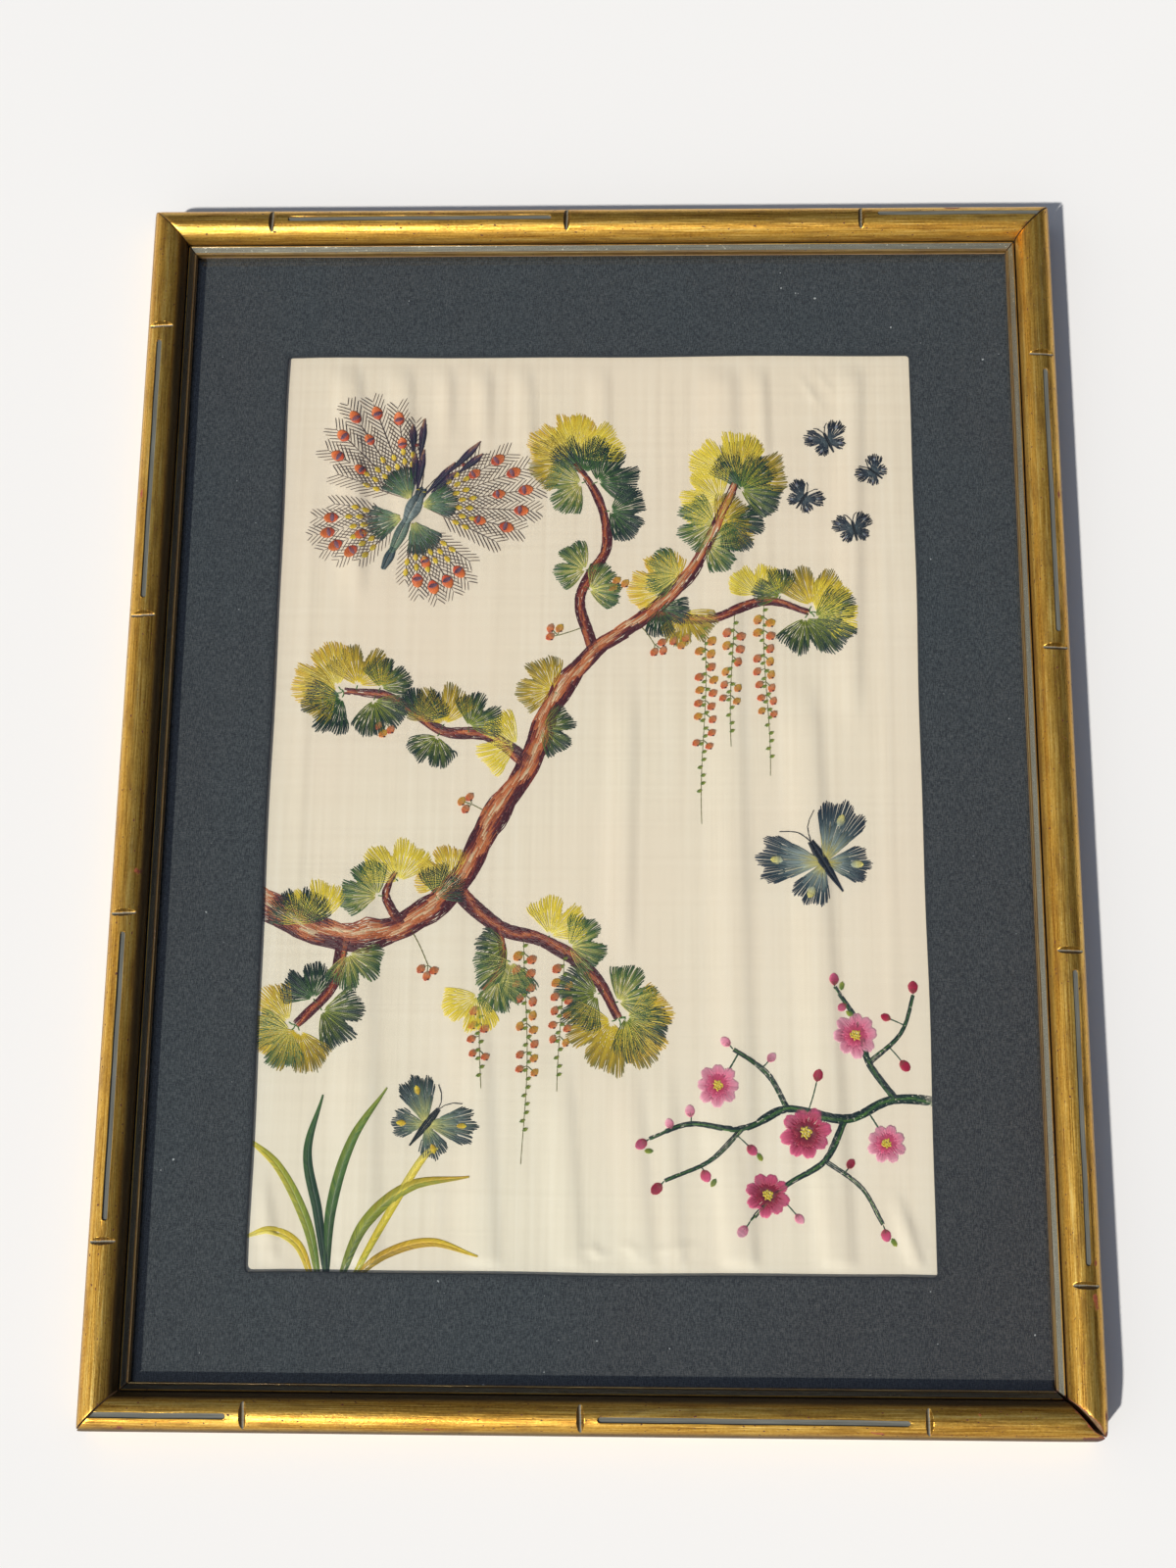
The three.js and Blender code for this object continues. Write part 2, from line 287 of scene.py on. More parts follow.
def silk_material():
    """Ivory silk: faint upright and level threads, soft warm and cool clouds, one small stain."""
    look = new_look("ivory_silk")
    threads = look.weigh(look.noise((300, 5, 5), 3, 0.65), 0.65, look.noise((6, 420, 5), 3, 0.65))
    warm_dark = look.ramp(threads, (0.36, 0.820, 0.690, 0.535), (0.5, 0.875, 0.748, 0.588),
                     (0.64, 0.915, 0.795, 0.640))
    light_cool = look.ramp(threads, (0.36, 0.845, 0.755, 0.600), (0.5, 0.898, 0.808, 0.650),
                      (0.64, 0.930, 0.845, 0.695))
    # Darker and warmer towards the top, lighter and cooler lower down
    upright = look.put("SeparateXYZ", {"Vector": look.place()}, "Y")
    colour = look.blend(look.spread(upright, 0.12, -0.16), warm_dark, light_cool)
    cloud = look.spread(look.noise((11, 7, 10), 3, 0.55), 0.40, 0.7, 0.0, 0.5)
    colour = look.blend(cloud, colour, (0.90, 0.740, 0.585))
    from_stain = look.vector_math("DISTANCE", look.place((1, 1, 0)), (-0.1035, 0.163, 0))
    colour = look.blend(look.spread(from_stain, 0.0009, 0.0005, 0.0, 0.7), colour, (0.30, 0.09, 0.06))
    weave = look.weigh(look.noise((2600, 30, 30), 2, 0.5), 0.6, look.noise((40, 2600, 30), 2, 0.5))
    return look.surface(Base_Color=colour, Roughness=0.52, Specular_IOR_Level=0.35, Sheen_Weight=0.25,
                        Sheen_Roughness=0.4, Normal=look.bump(weave, 0.05, 0.5))


def board_material():
    """Brown hardboard with pressed fibres and a faint screen pattern."""
    look = new_look("brown_hardboard")
    fibre = look.noise((420, 420, 420), 4, 0.7, 1.2)
    screens = [look.put("TexWave", {"Vector": look.place(), "Scale": 190.0, "Distortion": 0.6}, "Fac",
                        bands_direction=axis) for axis in "XY"]
    screen = look.math("MULTIPLY", *screens)
    colour = look.ramp(fibre, (0.3, 0.085, 0.045, 0.024), (0.55, 0.165, 0.095, 0.052),
                       (0.75, 0.27, 0.17, 0.10))
    cloud = look.spread(look.noise((16, 11, 12), 4, 0.6), 0.35, 0.7, 0.0, 0.5)
    return look.surface(Base_Color=look.blend(cloud, colour, (0.12, 0.070, 0.040)), Roughness=0.8,
                        Normal=look.bump(look.weigh(screen, 0.6, fibre), 0.25, 0.7))


def glass_material():
    """Clear pane: light goes through it, and it mirrors a little at a slant."""
    look = new_look("picture_glass")
    look.tree.nodes.clear()
    normal = look.bump(look.noise((9, 6, 9), 2, 0.5), 0.25, 0.3)
    index = look.spread(look.put("NewGeometry", {}, "Backfacing"), 0.0, 1.0, 1.5, 0.6667)
    fresnel = look.put("Fresnel", {"IOR": index, "Normal": normal})
    dust = look.spread(look.noise((700, 700, 700), 2, 0.5), 0.70, 0.80, 0.0, 0.015)
    through = look.put("BsdfTransparent", {"Color": (0.985, 0.995, 0.99)})
    mirror = look.put("BsdfGlossy", {"Color": (1, 1, 1), "Roughness": 0.03, "Normal": normal})
    both = look.put("MixShader", {0: look.math("ADD", fresnel, dust), 1: through, 2: mirror})
    look.put("OutputMaterial", {"Surface": both})
    return look.owner


def floor_material():
    return new_look("pale_floor").surface(Base_Color=(0.90, 0.90, 0.90), Roughness=0.9,
                                          Specular_IOR_Level=0.1)


# Silk: its folds and the height of its top face

# Start x and y, end x and y, half width and height of each fold. Most lie close to a fold of
# the frame's own silk.
SILK_FOLDS = [
    (-107, 217, -99, 75, 11, 0.95), (-84, 217, -78, 95, 9, 0.75), (-65, 217, -63, 140, 7, 0.50),
    (-49, 217, -47, 140, 8, 0.60), (-33, 217, -27, 120, 9, 0.45), (1, 217, 4, 110, 9, 0.35),
    (68, 217, 71, 130, 8, 0.50), (110, 217, 105, 20, 11, 0.65), (54, 217, 60, -215, 14, 0.60),
    (86, 50, 98, -217, 14, 0.80), (14, 50, 12, -80, 11, 0.45), (-94, -30, -85, -217, 17, 0.60),
    (-46, -85, -38, -217, 14, 0.60), (-13, -105, -4, -217, 12, 0.45), (15, -110, 23, -217, 12, 0.40),
    (29, -110, 35, -217, 10, 0.35), (49, -115, 64, -217, 11, 0.90), (88, -140, 99, -217, 7, 0.50),
    (116, -158, 129, -200, 6, 0.70), (-130, -150, -120, -200, 8, 0.55),
]
# Narrow creases and puckers, which only this finer sheet has
SILK_CREASES = [
    (24, 205, 25, 20, 2.2, 0.07), (30, 205, 31, 60, 2.0, 0.06), (36, 200, 36, 90, 2.4, 0.05),
    (70, 205, 72, 40, 4.0, 0.08), (82, 186, 98, 160, 2.4, 0.24), (88, 190, 104, 166, 2.2, 0.18),
    (-50, 204, -49, 120, 3.5, 0.07), (-18, 204, -17, 110, 3.0, 0.06),
    (-120, 150, -119, -60, 6.0, 0.12), (120, 120, 118, -120, 5.0, 0.10),
    (-8, -183, 10, -186, 2.8, 0.30), (8, -181, 22, -185, 2.4, 0.26), (20, -184, 44, -182, 2.6, 0.30),
    (-2, -178, 6, -190, 2.4, 0.22), (14, -179, 20, -190, 2.4, 0.22), (32, -178, 36, -190, 2.4, 0.24),
    (-128, -176, -112, -186, 2.6, 0.16), (-130, -186, -118, -170, 2.2, 0.14),
    (124, -172, 131, -190, 2.4, 0.16), (76, -96, 78, -190, 5.0, 0.12), (44, -100, 46, -190, 5.0, 0.10),
    (-60, -150, -58, -192, 4.0, 0.08), (-112, -120, -110, -190, 5.0, 0.10),
]
FOLD_FADE = 30.0
FOLD_LIFT = 2.3
FOLD_ROOM = 1.6
FOLD_STEEP_SIDE, FOLD_LONG_SIDE = 0.45, 1.05
SILK_EDGE_FADE = 4.5
SILK_HEAD_FADE = 13.0
SILK_STEP, SILK_OUTER_STEP = 1.6, 6


def fold_height(fold, x, y):
    x1, y1, x2, y2, half_width, height = fold
    length = math.hypot(x2 - x1, y2 - y1)
    along = ((x - x1) * (x2 - x1) + (y - y1) * (y2 - y1)) / length
    across = ((x - x1) * (y2 - y1) - (y - y1) * (x2 - x1)) / length
    ends = smoothstep(np.minimum(along, length - along), 0, min(FOLD_FADE, length / 2))
    reach = np.where(across < 0, FOLD_STEEP_SIDE, FOLD_LONG_SIDE) * half_width
    crest = 0.5 * (1 + np.cos(np.pi * np.clip(across / reach, -1, 1)))
    return FOLD_LIFT * height * ends * crest


def silk_height(x, y):
    """Height of the silk's top face over the back of the frame."""
    x, y = np.asarray(x, float), np.asarray(y, float)
    inside = np.minimum(np.minimum(x - WINDOW_LEFT, WINDOW_RIGHT - x), y - WINDOW_BOTTOM)
    free = (smoothstep(inside - WINDOW_CORNER, 0, SILK_EDGE_FADE)
            * smoothstep(WINDOW_TOP - WINDOW_CORNER - y, 0, SILK_HEAD_FADE))
    lift = sum(fold_height(fold, x, y) for fold in SILK_FOLDS + SILK_CREASES)
    return SILK_TOP + free * FOLD_ROOM * np.tanh(lift / FOLD_ROOM)


def graded_lines(low, inner_low, inner_high, high):
    """Places along one side of the silk, close together inside the window."""
    spans = ((low, inner_low, SILK_OUTER_STEP), (inner_low, inner_high, SILK_STEP),
             (inner_high, high, SILK_OUTER_STEP))
    lines = [np.linspace(start, end, max(1, round((end - start) / step)), endpoint=False)
             for start, end, step in spans]
    return np.concatenate(lines + [[high]])


def make_silk():
    """A thin closed sheet whose upper and lower faces follow the folds."""
    grid_x, grid_y = np.meshgrid(
        graded_lines(SILK_LOW[0], WINDOW_LEFT, WINDOW_RIGHT, SILK_HIGH[0]),
        graded_lines(SILK_LOW[1], WINDOW_BOTTOM, WINDOW_TOP, SILK_HIGH[1]),
    )
    upper = np.stack([grid_x, grid_y, silk_height(grid_x, grid_y)], axis=-1).reshape(-1, 3)
    rows, columns = grid_x.shape
    count = rows * columns
    index = np.arange(count).reshape(rows, columns)
    rim = np.concatenate([index[0, :-1], index[:-1, -1], index[-1, :0:-1], index[:0:-1, 0]])
    after = np.roll(rim, -1)
    quads = np.concatenate([
        grid_quads(rows, columns), grid_quads(rows, columns, count)[:, ::-1],
        np.stack([rim + count, after + count, after, rim], axis=1),
    ])
    points = np.concatenate([upper, upper - [0, 0, SILK_THICKNESS]])
    silk = make_piece("silk_ground", points, quads.tolist(), silk_material())
    settle(silk, "silk", "silk_panel")
    return silk


# Mat: a cloth-covered board whose cloth turns down into the window

WINDOW_WAVES = [(0.21, 33, 1), (0.14, 14, 2)]
WINDOW_STEP = 2.0
CALM_LENGTH = 14.0
MAT_EDGE_RADIUS = 0.75
MAT_SAG = 0.05


def window_points(step):
    """Places round the window's edge and the directions that point into the mat."""
    corner = WINDOW_CORNER
    width, height = WINDOW_RIGHT - WINDOW_LEFT, WINDOW_TOP - WINDOW_BOTTOM
    sides = [
        (WINDOW_LEFT, WINDOW_BOTTOM, 1, 0, width, 0.4), (WINDOW_RIGHT, WINDOW_BOTTOM, 0, 1, height, 1.9),
        (WINDOW_RIGHT, WINDOW_TOP, -1, 0, width, 3.1), (WINDOW_LEFT, WINDOW_TOP, 0, -1, height, 4.6),
    ]
    turn = np.radians(np.linspace(0, 90, 6)[1:-1])
    places, outwards = [], []
    for start_x, start_y, dx, dy, length, phase in sides:
        start, way, out = np.array([start_x, start_y]), np.array([dx, dy]), np.array([dy, -dx])
        along = np.linspace(corner, length - corner, round(length / step))
        calm = np.minimum(1, np.minimum(along, length - along) / CALM_LENGTH)
        sway = calm * sum(high * np.sin(along / stretch + shift * phase)
                          for high, stretch, shift in WINDOW_WAVES)
        facing = np.outer(np.cos(turn), out) + np.outer(np.sin(turn), way)
        centre = start + way * (length - corner) - out * corner
        places += [start + np.outer(along, way) - np.outer(sway, out), centre + corner * facing]
        outwards += [np.tile(out, (len(along), 1)), facing]
    return np.concatenate(places), np.concatenate(outwards)


def make_mat():
    """Rings from the window's edge over the face to the rebate, round the side and back."""
    edge, outward = window_points(WINDOW_STEP)
    bottom, top = MAT_LOW[2], MAT_HIGH[2]
    count, radius = len(edge), MAT_EDGE_RADIUS
    with np.errstate(divide="ignore"):
        reach = np.where(outward > 1e-9, (MAT_HIGH[:2] - edge) / outward,
                         np.where(outward < -1e-9, (MAT_LOW[:2] - edge) / outward, np.inf))
    rim = edge + outward * reach.min(axis=1)[:, None]
    for corner_x in (MAT_LOW[0], MAT_HIGH[0]):
        for corner_y in (MAT_LOW[1], MAT_HIGH[1]):
            nearest = np.argmin(np.hypot(rim[:, 0] - corner_x, rim[:, 1] - corner_y))
            rim[nearest] = corner_x, corner_y
    rings = [(edge, bottom)]
    for angle in np.radians([0, 22, 45, 67, 90]):
        inset, drop = radius * (1 - math.cos(angle)), radius * (1 - math.sin(angle))
        rings.append((edge + outward * inset, top - drop))
    start = edge + outward * radius
    for share in [0.05, 0.12, 0.2, 0.3, 0.4, 0.5, 0.6, 0.7, 0.8, 0.9]:
        spot = start + (rim - start) * share
        rings.append((spot, top + MAT_SAG * (np.sin(spot[:, 0] / 17) * np.sin(spot[:, 1] / 23) - 1)))
    rings += [(rim, top), (rim, bottom)]
    points = np.concatenate([np.column_stack([ring, np.broadcast_to(height, count)])
                             for ring, height in rings])
    ring_index = np.arange(count)
    after, last = np.roll(ring_index, -1), (len(rings) - 1) * count
    closing = np.stack([last + ring_index, last + after, after, ring_index], axis=1)
    quads = np.concatenate([grid_quads(len(rings), count, around=True), closing])[:, ::-1]
    mat = make_piece("cloth_mat", points, quads.tolist(), mat_material())
    depths = [0.9, 0.9, 0.85, 0.7, 0.55, 0.35]
    give_attribute(mat, "turn_in", np.repeat(depths + [0.0] * (len(rings) - len(depths)), count))
    settle(mat, "mat_cloth", "window_mat")


# Rails

# Moulding section: u runs inwards from the outer side, z up from the back
MOULDING_WIDTH = 17.9
BEAD_RADIUS = 7.2
BEAD_CENTRE = 14.9
REBATE_WALL = 12.9
REBATE_DEPTH = 9.1
SLIT_INSET = 6.2

# One row for each rail: its turn about Z and length, the mitre setback at the outer and
# inner side and the corner rounding at its start and end, then notches and slits from the
# rail's middle. A slit is its two ends, its distance from the outer side and its slant.
RAILS = {
    "rail_top": (180, FRAME_WIDTH, (0.4, 0.25, 1.0), (0.3, 0.25, 1.0), [-111.7, 13.7, 140.2],
                 [(-210, -118.6, 5.2, 0), (20.4, 133.3, 6.4, 0.1)]),
    "rail_bottom": (0, FRAME_WIDTH, (0.45, 0.3, 1.2), (2.9, 0.4, 5.0), [-128.7, -3.2, 125.3],
                    [(-210, -135.1, 6.2, 0), (3.2, 118.4, 6.2, -0.15)]),
    "rail_left": (-90, FRAME_HEIGHT, (0.3, 0.25, 1.0), (0.45, 0.3, 1.2), [-196.9, -67.6, 56.3, 183.1],
                  [(-189.9, -74.7, 6.55, 0.1), (64, 175.4, 7.2, 0.1)]),
    "rail_right": (90, FRAME_HEIGHT, (2.9, 0.4, 5.0), (0.4, 0.25, 1.0), [-196.4, -69.9, 53.7, 182.3],
                   [(-189.2, -77.6, 5.6, -0.15), (60.1, 175.1, 5.6, 0.1)]),
}
NOTCH_HALF_WIDTH = 1.45
NOTCH_DEPTH = 2.0
NOTCH_SLOPE = 0.10
SLIT_HALF_WIDTH = 1.0
SLIT_DEPTH = 0.8
SLIT_BURR = 0.20
MITRE_ZONE = 30.0
# Rails that turn from the light; their groove and lip get painted shade
SHADED_RAILS = ("rail_bottom", "rail_left")
# Places where the red ground shows: along the rail, in from its outer side, and half sizes
RED_SPOTS = {
    "rail_top": [(72, 3.2, 3.0, 0.9), (-150, 2.4, 4.0, 0.8)],
    "rail_bottom": [(103, 2.6, 1.8, 0.8), (109, 2.4, 1.6, 0.7), (145, 9.5, 1.6, 1.3), (-58, 2.2, 3.0, 0.7),
                    (186, 1.2, 5.0, 1.0), (-176, 1.6, 4.0, 0.8)],
    "rail_left": [(40, 11.0, 1.0, 2.6), (-120, 3.0, 2.0, 0.8)],
    "rail_right": [(-202, 3.6, 3.4, 1.5), (-188, 3.0, 1.6, 0.9), (-243, 1.5, 3.0, 0.9),
                   (120, 2.5, 3.0, 0.8)],
}


def rail_section():
    """Points round the moulding, each with its five shares: grey paint, painted shade, raw wood, wear and
    satin.
    """
    rows = []

    def add(u, z, paint=0.0, dark=0.0, raw=0.0, edge=0.0, satin=0.0):
        rows.append((u, z, paint, dark, raw, edge, satin))

    def line(start, end, steps, **amounts):
        for step in range(steps):
            share = step / steps
            add(start[0] + (end[0] - start[0]) * share, start[1] + (end[1] - start[1]) * share, **amounts)

    # Painted shade darkens the outer side, both flanks of the bead, the groove, the thin lines beside the
    # satin lip, the sight bead and the inner face
    line((REBATE_WALL, 0), (0.5, 0), 3, raw=1)
    line((0.5, 0), (0, 0.5), 2, raw=0.6, edge=0.4)
    line((0, 0.5), (0, BEAD_CENTRE), 8, dark=0.45, edge=0.22)
    turns = list(np.radians(np.linspace(180, -20, 58)))
    for offset in (-1.42, -1.22, -1.07, -0.96, 0.96, 1.07, 1.22, 1.42):
        turns.append(math.acos((SLIT_INSET + offset * SLIT_HALF_WIDTH - BEAD_RADIUS) / BEAD_RADIUS))
    for turn in sorted(turns, reverse=True):
        angle = math.degrees(turn)
        # Painted shade on the bead's inner flank down into the groove and on its outer flank
        painted_darkness = smoothstep(-angle, 2, 18) + 0.52 * fade(angle, -5, 34) * (angle > -2)
        add(BEAD_RADIUS + BEAD_RADIUS * math.cos(turn), BEAD_CENTRE + BEAD_RADIUS * math.sin(turn),
            dark=painted_darkness + 0.70 * smoothstep(angle, 132, 168), edge=0.24 * smoothstep(angle, 128, 160))
    # Painted shade in the groove and on the thin lines beside the satin lip
    line((14.2, 12.32), (14.8, 12.3), 2, dark=1)
    line((14.8, 12.3), (14.98, 13.9), 2, dark=0.8)
    line((14.98, 13.9), (15.12, 14.05), 2, dark=0.3, edge=0.2)
    line((15.12, 14.05), (15.34, 14.02), 2, dark=0.15, edge=0.1)
    line((15.38, 14.0), (15.5, 13.95), 1, dark=0.8)
    line((15.55, 13.9), (17.28, 12.08), 8, satin=1)
    line((17.3, 12.04), (17.35, 12.02), 1, dark=0.7)
    # The sight bead and the inner face carry painted shade
    for turn in np.radians([165, 130, 95, 60, 25]):
        add(17.63 + 0.26 * math.cos(turn), 12.06 + 0.26 * math.sin(turn), dark=0.35, edge=0.15, satin=0.45)
    line((MOULDING_WIDTH, 11.9), (MOULDING_WIDTH, REBATE_DEPTH), 3, dark=0.75)
    line((MOULDING_WIDTH, REBATE_DEPTH), (REBATE_WALL, REBATE_DEPTH), 2, raw=1)
    line((REBATE_WALL, REBATE_DEPTH), (REBATE_WALL, 0), 2, raw=1)
    return np.array(rows)


def rail_stations(half, notches, slits):
    """Places along the rail, close together at notches and slit ends."""
    places = list(np.arange(-half, half + 1, 4.0))
    for step in (0.35, 0.75, 1.2, 1.7, 2.3, 3.0):
        places += [step - half, half - step]
    for notch in notches:
        places += list(notch + np.linspace(-1.9, 1.9, 27))
    for slit in slits:
        for tip, inward in ((slit[0], 1), (slit[1], -1)):
            if abs(tip) < half - MITRE_ZONE:
                places += [tip + inward * step for step in (-0.12, -0.02, 0.1, 0.25, 0.45, 0.7, 1.0)]
    places = np.array(sorted(place for place in places if abs(place) <= half))
    return places[np.concatenate([[True], np.diff(places) > 0.02])]


def bead_height(u):
    reach = np.clip(np.abs(u - BEAD_RADIUS), 0, BEAD_RADIUS)
    return BEAD_CENTRE + np.sqrt(BEAD_RADIUS ** 2 - reach ** 2)


def uneven(x, y, seed):
    """A slow hand-made waviness between about -1 and 1."""
    return (np.sin(x / 23.0 + seed) + np.sin(x / 9.1 + 2.3 * seed + y / 5) +
            0.6 * np.sin(x / 4.3 + 1.7 * seed + y / 2.1)) / 2.6


def slit_middle(slit, x, seed):
    """The slit's distance from the rail's outer side at each place along it."""
    start, end, inset, slant = slit
    slope = math.tan(math.radians(slant))
    return inset + (x - (start + end) / 2) * slope + 0.10 * uneven(x, 0, seed + inset)


def raise_to(values, least):
    np.maximum(values, least, out=values)


def paint_turned_rail_shade(name, u, z, on_bead, cover):
    """Painted shade in the groove and on the lip of the rails that turn from the light, and on the bottom
    rail's outer flank.
    """
    painted_darkness = 0.90 * smoothstep(u, 10.4, 13.2) * on_bead + 0.45 * cover["satin"]
    if name == "rail_bottom":
        painted_darkness = painted_darkness + 0.88 * fade(u, 0.5, 3.0) * on_bead
    raise_to(cover["dark"], painted_darkness)
    # The sight bead keeps no painted shade and takes an edge share of 0.45
    on_sight_bead = (u > 17.36) & (u < 17.895) & (z > 12.0)
    cover["dark"][on_sight_bead] = 0.0
    cover["edge"][on_sight_bead] = 0.45


def cut_slit(slit, seed, x, u, z, on_bead, cover):
    """A grey slit with a low burr round it, painted shade on its floor and along its wall; gives the new
    heights.
    """
    past = np.maximum(np.maximum(slit[0] + SLIT_HALF_WIDTH - x, x - slit[1] + SLIT_HALF_WIDTH), 0)
    distance = np.hypot(past, u - slit_middle(slit, x, seed)) / SLIT_HALF_WIDTH
    share = on_bead * fade(distance, 0.93, 1.09)
    floor = CROWN - SLIT_DEPTH + 0.05 * uneven(x * 2.2, u, seed)
    z = z - share * np.maximum(z - floor, 0)
    burr = hump(distance - 1.25, 0.19) * (0.6 + 0.4 * uneven(x * 3, u, seed + 2))
    raise_to(cover["paint"], smoothstep(share, 0.5, 0.9))
    # Painted shade on the slit's floor, and a thin line of painted shade along its wall
    raise_to(cover["dark"], 0.30 * smoothstep(share, 0.4, 0.9))
    raise_to(cover["dark"], 0.40 * hump(distance - 1.0, 0.09) * on_bead)
    raise_to(cover["edge"], 0.30 * fade(np.abs(distance - 1.15), 0.05, 0.3) * on_bead)
    return z + SLIT_BURR * burr * on_bead


def cut_notch(notch, tilt, seed, light_hand, x, u, z, on_bead, cover):
    """A filed notch across the bead, with worn rims, and grey paint and painted shade on its side away from
    the light.
    """
    off = x - notch - tilt * (u - BEAD_RADIUS)
    floor = (CROWN - NOTCH_DEPTH * (1 - (off / NOTCH_HALF_WIDTH) ** 2)
             + NOTCH_SLOPE * (u - BEAD_RADIUS) + 0.08 * uneven(4 * x, 3 * u, seed))
    cut = on_bead & (np.abs(off) < 1.2 * NOTCH_HALF_WIDTH) & (z > floor)
    z = np.where(cut, floor, z)
    rim = fade(np.abs(np.abs(off) - NOTCH_HALF_WIDTH), 0.05, 0.5)
    raise_to(cover["edge"], 0.42 * rim * (on_bead & (z > CROWN - NOTCH_DEPTH)))
    patches = smoothstep(uneven(3 * x, 2 * u, seed), 0.1, 0.5)
    raise_to(cover["edge"], 0.40 * hump(off, 5.0) * patches * on_bead)
    lit = off * light_hand
    cover["paint"][cut & (lit < 0.22 * NOTCH_HALF_WIDTH)] = 0.95
    # Painted shade on the notch's side away from the light
    raise_to(cover["dark"], 0.90 * fade(lit, -0.75, -0.1) * cut)
    return z


def shape_end(side, half, mitre, x, u, z, on_bead, edge):
    """Draws one end of the rail to its mitre and rounds its corner; gives the new places."""
    outer, inner, rounding = mitre
    tip = 0.293 * rounding
    opening = (1 - np.clip(u / MOULDING_WIDTH, 0, 1)) * smoothstep(u, tip + 0.1, tip + 3.0)
    setback = inner + (outer - inner) * opening - 0.1 * fade(u, tip, tip + 1.5)
    limit = half - setback - np.maximum(u, tip)
    straight = half - MITRE_ZONE
    share = np.clip((side * x - straight) / MITRE_ZONE, 0, 1)
    x = np.where(side * x > straight, side * (straight + (limit - straight) * share), x)
    past = np.clip(side * x - (half - rounding), 0, 0.9 * rounding)
    u = np.maximum(u, rounding - np.sqrt(rounding ** 2 - past ** 2))
    from_corner = np.hypot(half - side * x, u)
    z = np.where(z > 8, z - 0.55 * rounding * hump(from_corner, 1.5 * rounding), z)
    raise_to(edge, 0.34 * rounding * hump(from_corner, 5.0) * (z > 2))
    to_mitre = (limit - side * x) * 0.707
    z = z - 0.22 * np.exp(-np.clip(to_mitre, 0, None) / 0.5) * on_bead
    raise_to(edge, 0.55 * np.exp(-np.clip(to_mitre, 0, None) / 2.2) * (z > 2))
    if outer > 1:
        raise_to(edge, 1.1 * np.exp(-np.clip(to_mitre, 0, None) / 0.9) * (z > 2))
    return x, u, z


def make_rail(name, material):
    turn, length, start, end, notches, slits = RAILS[name]
    half = length / 2
    seed = 1.3 * len(notches) + turn / 50.0
    section, stations = rail_section(), rail_stations(half, notches, slits)
    rows, columns = len(stations), len(section)
    x = np.repeat(stations[:, None], columns, axis=1)
    u, z, *shares = (np.tile(column, (rows, 1)) for column in section.T)
    cover = dict(zip(RAIL_SHARES, shares))
    on_bead = (z >= BEAD_CENTRE) & (u < 2 * BEAD_RADIUS)
    if name in SHADED_RAILS:
        paint_turned_rail_shade(name, u, z, on_bead, cover)

    near_slit = fade(np.abs(u - SLIT_INSET), 1.7, 3.6)
    for slit in slits:
        in_reach = smoothstep(x, slit[0] - 12, slit[0] - 3) * fade(x, slit[1] + 3, slit[1] + 12)
        drift = slit_middle(slit, x, seed) - SLIT_INSET
        u = u + drift * near_slit * in_reach * on_bead
    z = np.where(on_bead, bead_height(u), z)
    for slit in slits:
        z = cut_slit(slit, seed, x, u, z, on_bead, cover)
    for number, notch in enumerate(notches):
        z = cut_notch(notch, 0.03 * math.sin(7 * number + seed), seed + number,
                      1 if turn in (0, 90) else -1, x, u, z, on_bead, cover)
    for along, inward, half_long, half_wide in RED_SPOTS[name]:
        spot = np.hypot((x - along) / half_long, (u - inward) / half_wide)
        spot = spot + 0.35 * uneven(5 * x, 7 * u, along)
        raise_to(cover["edge"], 1.1 * fade(spot, 0.5, 1.3) * (z > 2))
    for side, mitre in ((-1, start), (1, end)):
        x, u, z = shape_end(side, half, mitre, x, u, z, on_bead, cover["edge"])
    z = np.minimum(z + 0.05 * uneven(x, u, seed) * on_bead, CROWN)

    cosine, sine = math.cos(math.radians(turn)), math.sin(math.radians(turn))
    from_middle = u - (FRAME_WIDTH + FRAME_HEIGHT - length) / 2
    world = np.stack([x * cosine - from_middle * sine, x * sine + from_middle * cosine, z],
                     axis=-1).reshape(-1, 3)
    faces = grid_quads(rows, columns, around=True)[:, ::-1].tolist()
    faces.append(list(range(rows * columns, (rows + 1) * columns)))
    faces.append(list(range((rows + 1) * columns, (rows + 2) * columns))[::-1])
    points = np.concatenate([world, world[:columns], world[-columns:]])
    piece = make_piece("gilt_" + name, points, faces, material)
    steps = np.hypot(np.diff(section[:, 0]), np.diff(section[:, 1]))
    around = np.tile(np.concatenate([[0], np.cumsum(steps)]), (rows, 1))
    lay = np.stack([x, around, np.full_like(x, 40 * seed)], axis=-1)
    give_attribute(piece, "lay", np.concatenate([lay.reshape(-1, 3), lay[0], lay[-1]]))
    # The end caps get painted shade 0.45 and raw wood 0.8
    for label, on_caps in zip(RAIL_SHARES, (0.0, 0.45, 0.8, 0.0, 0.0)):
        give_attribute(piece, label, np.append(cover[label], [on_caps] * 2 * columns))
    mark_sharp_edges(piece, 32)
    settle(piece, "gilt_wood", name)


# Thread work: a plain picture of ginkgo leaves on a russet bough, butterflies, eight-petalled
# flowers on green stems, hanging strings of berries and grass blades.

# Thread colours as red, green and blue of 255, as they look in daylight
THREAD_COLOURS = {
    "yellow": (244, 220, 52), "gold": (222, 178, 36), "straw": (246, 232, 128),
    "lime": (166, 176, 52), "olive": (112, 110, 36), "green": (40, 80, 46),
    "deep_green": (12, 38, 34), "moss": (80, 124, 46), "maroon": (84, 22, 28),
    "russet": (142, 52, 34), "copper": (206, 118, 62), "cream": (238, 212, 172),
    "orange": (240, 134, 58), "vermilion": (212, 66, 34), "crimson": (186, 22, 66),
    "pink": (238, 112, 156), "blush": (248, 184, 204), "taupe": (128, 106, 88),
    "umber": (88, 68, 56), "violet": (62, 32, 72), "heather": (112, 104, 138),
    "slate": (92, 108, 112), "mist": (164, 180, 178), "sage": (120, 146, 116),
    "navy": (22, 32, 52), "ink": (14, 26, 32), "teal": (24, 62, 72), "peach": (196, 142, 100),
}


